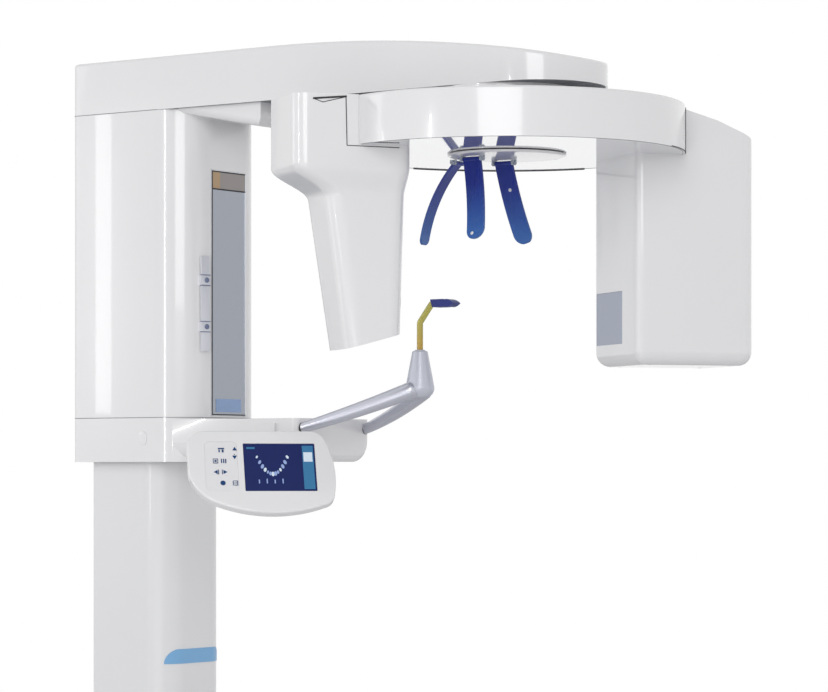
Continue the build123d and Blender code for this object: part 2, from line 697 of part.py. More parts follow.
def brow_blade():
    """The forehead support: it hangs towards the column and swings about Y."""
    strip = blade(BROW_W, ((0, 0), (-56, -78), (-BROW_TOP_X + 665, 1562 - PIVOT_Z)), 11.0)
    return Pos(BROW_TOP_X, 0, PIVOT_Z) * rooted(strip, BROW_W, 0)


def pivot_pin(x, y, length, turn):
    return Pos(x, y, PIVOT_Z) * Rot(0, 0, turn) * Rot(0, 90, 0) * Cylinder(PIVOT_R - FIT, length)


def build_supports():
    disc = support_disc()
    pins = {"temple_pin_left": pivot_pin(TEMPLE_TOP[0], -TEMPLE_TOP[1], 54, 0),
            "temple_pin_right": pivot_pin(TEMPLE_TOP[0], TEMPLE_TOP[1], 54, 0),
            "brow_pin": pivot_pin(BROW_TOP_X, 0, 42, 90)}
    for name, pin in pins.items():
        disc -= pin
        keep(name, pin)
    keep("support_disc", disc)
    keep("temple_support_left", temple_blade(-1))
    keep("temple_support_right", temple_blade(1))
    keep("brow_support", brow_blade())


# Turning gantry. Its pieces are modelled along P = +X about the axis, then turned
HEAD_NECK_OUT = 376.0
HEAD_NECK_IN = 224.0
HEAD_FOOT_OUT = 336.0
HEAD_FOOT_IN = 230.0
HEAD_NECK_HALF = 75.0
HEAD_FOOT_HALF = 68.0
HEAD_SHOULDER_Z = 1688.0
HEAD_NECK_Z = 1630.0
HEAD_CORNER_R = 30.0
HEAD_BLEND_STEPS = 6
HEAD_FOOT_OUT_Z = 1353.0
HEAD_FOOT_IN_Z = 1382.0
WINDOW_Q0, WINDOW_Q1 = -32.0, 92.0
WINDOW_Z0, WINDOW_Z1 = 1371.0, 1471.0
BEAM_WIDE = 90.0
TUBE_HANG = 280.0
TANK_TOP = 1530.0
DETECTOR_HANG = 274.0
BEAM_HALF = 22.0
BEAM_Z0, BEAM_Z1 = 1400.0, 1520.0


def on_gantry(shape):
    return Pos(AXIS_X, 0, 0) * Rot(0, 0, GANTRY_ANGLE) * shape


def gantry_ring():
    """The round housing: rim and top, with a hollow boss that carries the bearing."""
    ring = drum(0, 0, GANTRY_BOTTOM, GANTRY_TOP, RING_R)
    ring = fillet(ring.edges().group_by(Axis.Z)[-1], 5)
    ring -= drum(0, 0, GANTRY_BOTTOM - 1, GANTRY_TOP - SHELL_WALL, RING_R - SHELL_WALL)
    ring += drum(0, 0, GANTRY_BOTTOM + 4, GANTRY_TOP, HUB_HOLE_R + 30)
    return ring - drum(0, 0, GANTRY_BOTTOM - 1, GANTRY_TOP + 1, HUB_HOLE_R)


def gantry_underside():
    """The glossy disc that closes the ring below, with ways through for the hangers."""
    disc = drum(0, 0, GANTRY_BOTTOM, GANTRY_BOTTOM + 4, RING_R - SHELL_WALL - 0.4, HUB_HOLE_R)
    for p0, p1 in ((-RING_R + 40, -RING_R + 80), (RING_R - 80, RING_R - 40)):
        disc -= block(p0, p1, -46, 46, GANTRY_BOTTOM - 1, GANTRY_BOTTOM + 5)
    return disc


def gantry_beam():
    """A pressed channel under the ring's top, with a hanger down into each head."""
    top = GANTRY_TOP - SHELL_WALL
    reach = RING_R - 30
    beam = block(-reach, reach, -BEAM_WIDE, BEAM_WIDE, GANTRY_BOTTOM + 14, top)
    beam -= block(6 - reach, reach - 6, 6 - BEAM_WIDE, BEAM_WIDE - 6, GANTRY_BOTTOM + 13, top - 6)
    beam += block(-TUBE_HANG - 12, -TUBE_HANG, -44, 44, TANK_TOP, top - 6)
    beam += block(DETECTOR_HANG, DETECTOR_HANG + 12, -44, 44, SENSOR_BOTTOM + 30, top - 6)
    return beam - drum(0, 0, GANTRY_BOTTOM, GANTRY_TOP, HUB_HOLE_R + 30)


def drive_wheel():
    """The belt wheel above the bearing, on a sleeve down to the ring."""
    sleeve = drum(0, 0, GANTRY_TOP, BELT_LEVEL - 8, HUB_HOLE_R + 9, HUB_HOLE_R)
    return sleeve + drum(0, 0, BELT_LEVEL - 8, BELT_LEVEL + 8, WHEEL_R, HUB_HOLE_R)


def bearing_inner():
    ring = drum(0, 0, GANTRY_TOP, ARM_BOTTOM - 5, BEARING_R - FIT, BEARING_INNER_R)
    return chamfer(ring.edges().group_by(Axis.Z)[-1].sort_by(SortBy.RADIUS)[-1], 1)


def head_section(level, inset):
    """The tube head's rounded plan at one height, drawn in smoothly at the shoulder."""
    drop = min(max((HEAD_SHOULDER_Z - level) / (HEAD_SHOULDER_Z - HEAD_NECK_Z), 0), 1)
    ease = drop * drop * (3 - 2 * drop)
    below = max((HEAD_NECK_Z - level) / (HEAD_NECK_Z - HEAD_FOOT_OUT_Z), 0)
    out = TUBE_OUT + (HEAD_NECK_OUT - TUBE_OUT) * ease + (HEAD_FOOT_OUT - HEAD_NECK_OUT) * below
    near = TUBE_IN + (HEAD_NECK_IN - TUBE_IN) * ease + (HEAD_FOOT_IN - HEAD_NECK_IN) * below
    half = TUBE_HALF + (HEAD_NECK_HALF - TUBE_HALF) * ease + (HEAD_FOOT_HALF - HEAD_NECK_HALF) * below
    plan = RectangleRounded(out - near - 2 * inset, 2 * (half - inset), HEAD_CORNER_R - inset)
    return Pos(-(out + near) / 2, 0, level) * plan


def head_form(inset):
    """Block, shoulder and tapered head, cut off square to the beam at the foot."""
    levels = [HEAD_SHOULDER_Z - (HEAD_SHOULDER_Z - HEAD_NECK_Z) * i / HEAD_BLEND_STEPS
              for i in range(HEAD_BLEND_STEPS + 1)]
    upper = prism(head_section(HEAD_SHOULDER_Z, inset), 0, GANTRY_TOP - HEAD_SHOULDER_Z - inset)
    shoulder = loft([head_section(z, inset) for z in levels])
    lower = loft([head_section(HEAD_NECK_Z, inset), head_section(HEAD_FOOT_OUT_Z - 20, inset)])
    body = upper + shoulder + lower
    slope = degrees(atan2(HEAD_FOOT_IN_Z - HEAD_FOOT_OUT_Z, HEAD_FOOT_OUT - HEAD_FOOT_IN))
    under = Pos(-HEAD_FOOT_OUT, 0, HEAD_FOOT_OUT_Z + inset) * Rot(0, -slope, 0)
    return body - under * Pos(0, 0, -100) * Box(600, 300, 200)


def tube_head_shell():
    """The white moulding round the x-ray tube, with a window towards the patient."""
    shell = head_form(0) - head_form(SHELL_WALL)
    shell -= drum(0, 0, GANTRY_BOTTOM, GANTRY_TOP + 1, RING_R + GAP)
    way_up = block(-RING_R + 30, -TUBE_IN - 10, -TUBE_HALF + 12, TUBE_HALF - 12,
                   GANTRY_BOTTOM - SHELL_WALL, GANTRY_BOTTOM)
    lid = block(-RING_R - 2, -TUBE_IN, -TUBE_HALF, TUBE_HALF, GANTRY_BOTTOM - SHELL_WALL, GANTRY_BOTTOM)
    lid = (lid & head_form(0) & drum(0, 0, 0, GANTRY_TOP, RING_R)) - way_up
    window = block(-HEAD_FOOT_IN - 20, -TUBE_IN, -BEAM_HALF, BEAM_HALF, BEAM_Z0, BEAM_Z1)
    return shell + lid - window


def head_window():
    """The thin tinted cover over the beam's way out."""
    inner = head_form(1.0) - head_form(SHELL_WALL)
    return inner & block(-HEAD_FOOT_IN - 20, -TUBE_IN, -BEAM_HALF + 0.2, BEAM_HALF - 0.2,
                         BEAM_Z0 + 0.2, BEAM_Z1 - 0.2)


def xray_tank():
    """The oil filled tank that holds the tube, bolted under its hanger."""
    middle = -TUBE_HANG - 6
    tank = Pos(middle, 0, TANK_TOP - 66) * Cylinder(40, 104, rotation=(90, 0, 0))
    seat = block(middle - 16, middle + 16, -40, 40, TANK_TOP - 40, TANK_TOP)
    collar = Pos(-255, 0, TANK_TOP - 66) * Rot(0, 90, 0) * Cylinder(22, 40)
    return tank + seat + collar


def sensor_plan(inset):
    """A long box with soft corners, fuller at the outer end."""
    face = Pos((SENSOR_IN + SENSOR_OUT) / 2, 0) * Rectangle(
        SENSOR_OUT - SENSOR_IN - 2 * inset, 2 * (SENSOR_HALF - inset))
    face = fillet(face.vertices().filter_by(lambda v: v.X > 300), 34 - inset)
    return fillet(face.vertices().filter_by(lambda v: v.X < 300), 16 - inset)


def sensor_form(inset):
    """The sensor housing: rounded below, its roof falling away behind the ring."""
    body = prism(sensor_plan(inset), SENSOR_BOTTOM + inset, GANTRY_TOP)
    body = fillet(body.edges().group_by(Axis.Z)[0], 26 - inset)
    over = RING_R - 30
    roof = side_profile([
        (over, GANTRY_TOP - inset), ((SENSOR_OUT + over) / 2, GANTRY_TOP - inset - 23),
        (SENSOR_OUT + 5, SENSOR_END_TOP - inset), (SENSOR_OUT + 5, GANTRY_TOP + 10), (over, GANTRY_TOP + 10)])
    return body - extrude(roof, SENSOR_HALF + 10, both=True)


def sensor_shell():
    shell = sensor_form(0) - sensor_form(SHELL_WALL)
    shell -= drum(0, 0, GANTRY_BOTTOM, GANTRY_TOP + 1, RING_R + GAP)
    lid = block(SENSOR_IN, RING_R + 2, -SENSOR_HALF, SENSOR_HALF, GANTRY_BOTTOM - SHELL_WALL, GANTRY_BOTTOM)
    way_up = block(SENSOR_IN + 12, RING_R - 40, -SENSOR_HALF + 14, SENSOR_HALF - 14,
                   GANTRY_BOTTOM - SHELL_WALL, GANTRY_BOTTOM)
    lid = (lid & sensor_form(0) & drum(0, 0, 0, GANTRY_TOP, RING_R)) - way_up
    opening = block(SENSOR_IN - 1, SENSOR_IN + SHELL_WALL + 1, WINDOW_Q0, WINDOW_Q1, WINDOW_Z0, WINDOW_Z1)
    return shell + lid - opening


def sensor_window():
    return block(SENSOR_IN + 1.2, SENSOR_IN + SHELL_WALL, WINDOW_Q0 + 0.2, WINDOW_Q1 - 0.2,
                 WINDOW_Z0 + 0.2, WINDOW_Z1 - 0.2)


def flat_detector():
    """The flat panel detector behind the window, bolted to its hanger."""
    panel = block(SENSOR_IN + 8, SENSOR_IN + 34, WINDOW_Q0 - 6, WINDOW_Q1 + 2,
                  WINDOW_Z0 - 8, WINDOW_Z1 + 10)
    return panel + block(SENSOR_IN + 34, DETECTOR_HANG, -30, 30, WINDOW_Z0, WINDOW_Z1)


def build_gantry():
    pieces = {
        "gantry_ring": gantry_ring(), "gantry_underside": gantry_underside(),
        "gantry_beam": gantry_beam(), "bearing_inner": bearing_inner(), "drive_wheel": drive_wheel(),
        "tube_head_shell": tube_head_shell(), "head_window": head_window(),
        "xray_tank": xray_tank(), "sensor_shell": sensor_shell(),
        "sensor_window": sensor_window(), "flat_detector": flat_detector()}
    for name, piece in pieces.items():
        keep(name, on_gantry(piece))


# Control panel on a swivel neck beside the shelf
NECK_X, NECK_Y = 380.0, -158.0
NECK_R = 15.0
EYE_BACK = PANEL_T + 10.0
KEYS_AT = (-74.0, 8.0)
KEY_POINTS = ((-82, 43), (-56, 45), (-56, 28), (-92, 19), (-75, 16), (-90, -4), (-70, -6),
              (-78, -28), (-55, -28))
SCREEN_W0, SCREEN_H0 = 37.0, 6.0


def on_panel(shape):
    """Place a piece drawn with X across the panel, Y up it and Z out of its face."""
    face = Rot(0, 0, PANEL_FACING + 90) * Rot(90, 0, 0) * Rot(-PANEL_TILT, 0, 0)
    return Pos(PANEL_X, PANEL_Y, PANEL_Z) * face * shape


def panel_plan():
    """The pod's face: a level top, a full right end and a long swept chin."""
    return make_face([
        Line((-137, 50), (-137, -8)),
        ThreePointArc((-137, -8), (-121, -42), (-88, -68)),
        ThreePointArc((-88, -68), (20, -90), (120, -72)),
        ThreePointArc((120, -72), (134, -63), (139, -48)),
        ThreePointArc((139, -48), (141, 12), (126, 66)),
        ThreePointArc((126, 66), (116, 78), (98, 84)),
        Line((98, 84), (-105, 84)),
        ThreePointArc((-105, 84), (-127, 74), (-137, 50)),
    ])


def panel_front():
    """The face moulding, with pockets for the screen and the key sheet."""
    shell = extrude(panel_plan(), -PANEL_T / 2)
    shell = fillet(shell.edges().group_by(Axis.Z)[-1], 4)
    screen = Pos(SCREEN_W0, SCREEN_H0, 0)
    shell -= screen * extrude(RectangleRounded(SCREEN_W + 1, SCREEN_H + 1, 2), -3)
    return shell - Pos(*KEYS_AT, 0) * extrude(RectangleRounded(62, 104, 10), -1.2)


def panel_back():
    """The rear half of the pod, domed, with a boss that takes the tilt pin."""
    shell = Pos(0, 0, -PANEL_T / 2) * extrude(panel_plan(), -PANEL_T / 2)
    shell = fillet(shell.edges().group_by(Axis.Z)[0], 9)
    for side in (-1, 1):
        ear = Pos(side * 26, 0, 1 - EYE_BACK) * Box(10, 30, 22)
        shell += fillet(ear.edges().filter_by(Axis.X).group_by(Axis.Z)[0], 10)
    return shell - Pos(0, 0, -EYE_BACK) * Rot(0, 90, 0) * Cylinder(PIVOT_R, 90)


def screen_glass():
    glass = extrude(RectangleRounded(SCREEN_W, SCREEN_H, 1.5), 2)
    return Pos(SCREEN_W0, SCREEN_H0, -3) * glass


def key_sheet():
    """A sealed sheet of keys, each key a low dome."""
    sheet = Pos(*KEYS_AT, -1.2) * extrude(RectangleRounded(61.4, 103.4, 9.7), 0.8)
    for across, up in KEY_POINTS:
        sheet += Pos(across, up, -0.4) * extrude(RectangleRounded(14, 12, 4), 0.6)
    return sheet


def eye_point():
    """Middle of the tilt pin, behind the panel."""
    back = EYE_BACK * cos(radians(PANEL_TILT))
    return (PANEL_X - back * cos(radians(PANEL_FACING)), PANEL_Y - back * sin(radians(PANEL_FACING)),
            PANEL_Z - EYE_BACK * sin(radians(PANEL_TILT)))


def panel_yoke():
    """The swivel block: a round foot on the neck and an eye for the tilt pin."""
    x, y, level = eye_point()
    eye = on_panel(Pos(0, 0, -EYE_BACK) * Rot(0, 90, 0) * Cylinder(9, 40))
    run = sqrt((x - NECK_X) ** 2 + (y - NECK_Y) ** 2)
    turn = degrees(atan2(y - NECK_Y, x - NECK_X))
    bar = Pos(NECK_X, NECK_Y, level) * Rot(0, 0, turn) * block(0, run, -8, 8, -8, 8)
    foot = drum(NECK_X, NECK_Y, level - 11.7, level + 11.9, NECK_R)
    bore = on_panel(Pos(0, 0, -EYE_BACK) * Rot(0, 90, 0) * Cylinder(PIVOT_R + FIT, 90))
    stem = drum(NECK_X, NECK_Y, level - 13, level + 13, 6 + FIT)
    return eye + bar + foot - bore - stem


def panel_neck():
    """The bracket out of the shelf side: two lugs and a stem for the yoke."""
    level = eye_point()[2]
    lugs = Part()
    for z0 in (level - 20, level + 12.2):
        lugs += block(NECK_X - 14, NECK_X + 14, -SHELF_HALF - 30, -SHELF_HALF + 1, z0, z0 + 8)
        lugs += drum(NECK_X, NECK_Y, z0, z0 + 8, 14)
        lugs += block(NECK_X - 14, NECK_X + 14, NECK_Y, -SHELF_HALF - 20, z0, z0 + 8)
    plate = block(NECK_X - 22, NECK_X + 22, -SHELF_HALF - 6, -SHELF_HALF, level - 24, SHELF_BOTTOM + 74)
    stem = drum(NECK_X, NECK_Y, level - 20, level + 20, 6)
    return lugs + plate + stem - shelf_box()


def tilt_pin():
    return on_panel(Pos(0, 0, -EYE_BACK) * Rot(0, 90, 0) * Cylinder(PIVOT_R, 62))


def build_panel():
    keep("panel_neck", panel_neck())
    keep("panel_yoke", panel_yoke())
    keep("panel_back", on_panel(panel_back()))
    keep("panel_front", on_panel(panel_front()))
    keep("screen_glass", on_panel(screen_glass()))
    keep("key_sheet", on_panel(key_sheet()))
    keep("tilt_pin", tilt_pin())


def main():
    build_column()
    build_carriage()
    build_shelf()
    build_arm()
    build_supports()
    build_gantry()
    build_panel()
    os.makedirs("parts", exist_ok=True)
    for name, shape in PARTS.items():
        export_step(shape, f"parts/{name}.step")


main()
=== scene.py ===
"""Looks, details, light and camera for a dental x-ray unit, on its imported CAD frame.

Every length is in metres in the CAD frame: the floor under the column is the origin, +X runs
along the arm towards the patient and +Z is up.
"""
from __future__ import annotations

import json
import logging
import math
from dataclasses import dataclass
from enum import Enum

import bmesh
import bpy
from mathutils import Matrix, Vector

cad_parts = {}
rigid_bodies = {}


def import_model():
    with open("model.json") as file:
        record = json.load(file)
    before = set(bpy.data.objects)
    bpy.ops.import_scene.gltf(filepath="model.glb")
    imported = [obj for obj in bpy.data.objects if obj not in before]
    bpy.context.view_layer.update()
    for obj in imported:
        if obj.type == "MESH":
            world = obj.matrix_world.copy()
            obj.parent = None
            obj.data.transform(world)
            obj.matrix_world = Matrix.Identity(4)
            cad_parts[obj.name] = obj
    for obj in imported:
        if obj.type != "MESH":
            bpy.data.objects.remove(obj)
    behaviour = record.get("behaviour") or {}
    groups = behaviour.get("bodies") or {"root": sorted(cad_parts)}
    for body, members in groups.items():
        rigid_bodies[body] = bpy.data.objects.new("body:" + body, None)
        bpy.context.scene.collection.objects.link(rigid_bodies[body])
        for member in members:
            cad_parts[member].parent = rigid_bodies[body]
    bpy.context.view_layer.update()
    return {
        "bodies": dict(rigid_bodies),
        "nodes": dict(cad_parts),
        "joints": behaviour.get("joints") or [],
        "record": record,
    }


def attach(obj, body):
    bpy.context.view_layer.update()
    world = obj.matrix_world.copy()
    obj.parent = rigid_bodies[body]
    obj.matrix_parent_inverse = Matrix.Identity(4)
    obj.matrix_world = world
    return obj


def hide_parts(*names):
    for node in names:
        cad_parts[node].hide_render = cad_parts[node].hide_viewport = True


LOG = logging.getLogger("dental_unit")
Colour = tuple[float, float, float]
Point = tuple[float, float, float]
Outline = list[tuple[float, float]]
Profile = tuple[tuple[float, float], ...]

SIDES = (("near", -1), ("far", 1))
STOOD_UP = Matrix(((0, 0, 1, 0), (1, 0, 0, 0), (0, 1, 0, 0), (0, 0, 0, 1)))
TINY = 1e-7
LINE_SIDES = 6
COAT_ROUGH = 0.03
PLASTIC_IOR = 1.5
BUMP_REACH = 0.0003
LINE_SMOOTH = 60.0
TURNED_SMOOTH = 40.0


class Relief(Enum):
    """The fine surface under a finish."""

    MOULDED = "moulded"
    BRUSHED = "brushed"
    GRAINED = "grained"


@dataclass(frozen=True)
class Fade:
    """A second colour that takes over below a height; on the head supports it is a painted highlight,
    lighter at the tips where light shines through the clear moulding.
    """

    colour: Colour
    low: float
    high: float


@dataclass(frozen=True)
class Finish:
    """One surface of the unit, as a painter or moulder would order it."""

    name: str
    colour: Colour
    rough: float
    relief: Relief = Relief.MOULDED
    metallic: float = 0.0
    coat: float = 0.0
    depth: float = 0.04
    scale: float = 900.0
    shade: Colour = (0.80, 0.82, 0.85)
    mark: float = 0.12
    transmission: float = 0.0
    glow: float = 0.0
    shine: float = 0.5
    fade: Fade | None = None


SHELL = Finish("shell_white", (0.800, 0.798, 0.806), 0.14, coat=0.55, depth=0.015, scale=260.0,
               shade=(0.71, 0.71, 0.725), mark=0.14)
UNDER = Finish("gloss_underside", (0.70, 0.715, 0.745), 0.05, coat=1.0, depth=0.005, scale=200.0,
               shade=(0.62, 0.64, 0.68), metallic=0.25, mark=0.08)
COLUMN = Finish("column_white", (0.770, 0.770, 0.780), 0.28, coat=0.25, depth=0.03, scale=900.0,
                shade=(0.69, 0.69, 0.705))
ACCENT = Finish("accent_blue", (0.20, 0.43, 0.70), 0.30, depth=0.01, shade=(0.15, 0.36, 0.62))
FRAME = Finish("frame_grey", (0.20, 0.21, 0.23), 0.55, Relief.GRAINED, depth=0.12, scale=1400.0,
               shade=(0.12, 0.12, 0.13))
STEEL = Finish("bright_steel", (0.62, 0.63, 0.65), 0.28, Relief.BRUSHED, metallic=1.0, depth=0.05,
               scale=500.0, shade=(0.45, 0.46, 0.48))
MOTOR = Finish("motor_black", (0.02, 0.02, 0.024), 0.42, Relief.GRAINED, depth=0.10, scale=1100.0,
               shade=(0.035, 0.035, 0.04))
ALLOY = Finish("wheel_alloy", (0.66, 0.67, 0.70), 0.25, Relief.BRUSHED, metallic=1.0, depth=0.05,
               scale=600.0, shade=(0.50, 0.51, 0.54))
RUBBER = Finish("belt_rubber", (0.012, 0.012, 0.012), 0.75, Relief.GRAINED, depth=0.18, scale=1800.0,
                shade=(0.03, 0.03, 0.03))
MIRROR = Finish("mirror_face", (0.345, 0.37, 0.42), 0.08, metallic=0.75, depth=0.0, scale=80.0,
                shade=(0.31, 0.34, 0.40), mark=0.12)
# The supports' fade is a painted highlight: lighter towards their tips, as where light shines through
# them.
SUPPORT = Finish("support_blue", (0.008, 0.013, 0.235), 0.14, depth=0.006, scale=300.0, coat=0.35,
                 shade=(0.025, 0.10, 0.46), mark=0.5, shine=0.35,
                 fade=Fade((0.040, 0.135, 0.42), 1.575, 1.67))
TINT = Finish("window_tint", (0.30, 0.34, 0.44), 0.14, depth=0.008, scale=400.0, coat=0.4,
              shade=(0.25, 0.29, 0.39))
GRIP = Finish("grip_silver", (0.56, 0.57, 0.64), 0.26, Relief.GRAINED, metallic=0.70, depth=0.02,
              scale=2200.0, coat=0.25, shade=(0.46, 0.47, 0.53))
REST = Finish("rest_grey", (0.57, 0.59, 0.66), 0.34, Relief.GRAINED, depth=0.04, scale=1500.0,
              metallic=0.25, shade=(0.49, 0.51, 0.57))
AMBER = Finish("rod_amber", (0.58, 0.54, 0.10), 0.16, depth=0.01, coat=0.4, transmission=0.25,
               shade=(0.52, 0.34, 0.03), scale=300.0, mark=0.3,
               fade=Fade((0.60, 0.36, 0.035), 1.36, 1.42))
BITE = Finish("bite_navy", (0.012, 0.025, 0.20), 0.40, Relief.GRAINED, depth=0.06, scale=1600.0,
              shade=(0.02, 0.04, 0.26))
TANK = Finish("tank_grey", (0.16, 0.17, 0.19), 0.50, Relief.GRAINED, depth=0.12, scale=1300.0,
              shade=(0.10, 0.11, 0.12))
SCREEN = Finish("screen_face", (0.010, 0.020, 0.115), 0.22, depth=0.0, coat=0.05,
                shade=(0.006, 0.012, 0.07), scale=120.0, mark=0.6, shine=0.15)
KEYS = Finish("key_blue", (0.790, 0.790, 0.805), 0.36, Relief.GRAINED, depth=0.02, scale=2000.0,
              shade=(0.73, 0.73, 0.75))
RAIL = Finish("rail_satin", (0.70, 0.71, 0.76), 0.28, Relief.BRUSHED, metallic=0.3, depth=0.03,
              scale=700.0, shade=(0.60, 0.61, 0.67), coat=0.2)
PALE_CLEAR = Finish("hinge_clear", (0.60, 0.66, 0.76), 0.15, depth=0.0, coat=0.5, transmission=0.4,
                    shade=(0.52, 0.59, 0.72))
CLIP = Finish("clip_grey", (0.16, 0.19, 0.30), 0.35, Relief.GRAINED, depth=0.05, scale=1500.0,
              shade=(0.11, 0.13, 0.22))
# Dark grey for joints, gaps and collars, and also for painted shadow in the slot over the tube head and
# along the ring's far underside rim.
GASKET_AND_SHADOW = Finish("gasket_and_painted_shadow", (0.020, 0.020, 0.024), 0.6, Relief.GRAINED, depth=0.08, scale=1500.0,
                shade=(0.04, 0.04, 0.045))
SEAM = Finish("seam_shadow", (0.22, 0.22, 0.24), 0.6, depth=0.0, shade=(0.18, 0.18, 0.20))
INK = Finish("key_ink", (0.012, 0.055, 0.17), 0.5, depth=0.0, shade=(0.02, 0.06, 0.16), shine=0.2)
LIT_BLUE = Finish("display_blue", (0.045, 0.185, 0.36), 0.30, depth=0.0, shade=(0.035, 0.14, 0.30),
                  shine=0.15, glow=0.10)
LIT_PALE = Finish("display_pale", (0.30, 0.40, 0.68), 0.30, depth=0.0, shade=(0.24, 0.33, 0.62),
                  shine=0.15, glow=0.10)
LIT_WHITE = Finish("display_white", (0.66, 0.76, 0.86), 0.30, depth=0.0, shade=(0.62, 0.72, 0.82),
                   shine=0.15, glow=0.08)
# Painted reflection: colour bands on the mirror that stand in for what its glass reflects.
REFLECTION_BROWN_PAINTED = Finish("mirror_top_painted_reflection", (0.28, 0.25, 0.24), 0.25, coat=0.5, depth=0.0,
                    shade=(0.22, 0.20, 0.20))
REFLECTION_BLUE_PAINTED = Finish("mirror_foot_painted_reflection", (0.24, 0.37, 0.62), 0.22, coat=0.5, depth=0.0,
                   shade=(0.20, 0.32, 0.56))
REFLECTION_AMBER_PAINTED = Finish("mirror_amber_painted_reflection", (0.42, 0.27, 0.13), 0.25, coat=0.5, depth=0.0,
                    shade=(0.48, 0.34, 0.20))

NODE_FINISHES = (SHELL, UNDER, COLUMN, ACCENT, FRAME, STEEL, MOTOR, ALLOY, RUBBER, MIRROR, SUPPORT,
                 TINT, GRIP, REST, AMBER, BITE, TANK, SCREEN, KEYS)
PAINTED = {"panel_neck": SHELL, "bearing_outer": SHELL, "temple_pin_left": PALE_CLEAR,
           "temple_pin_right": PALE_CLEAR, "brow_pin": PALE_CLEAR}


def maths(tree: bpy.types.NodeTree, operation: str, second: float | None = None) -> bpy.types.Node:
    """Add a maths node.

    Args:
        tree: where it goes.
        operation: what it does.
        second: its second value, where that is fixed.

    Returns:
        The node.
    """
    node = tree.nodes.new("ShaderNodeMath")
    node.operation = operation
    if second is not None:
        node.inputs[1].default_value = second
    return node


def colour_mix(tree: bpy.types.NodeTree) -> bpy.types.Node:
    """Add a node that mixes two colours."""
    node = tree.nodes.new("ShaderNodeMix")
    node.data_type = "RGBA"
    return node


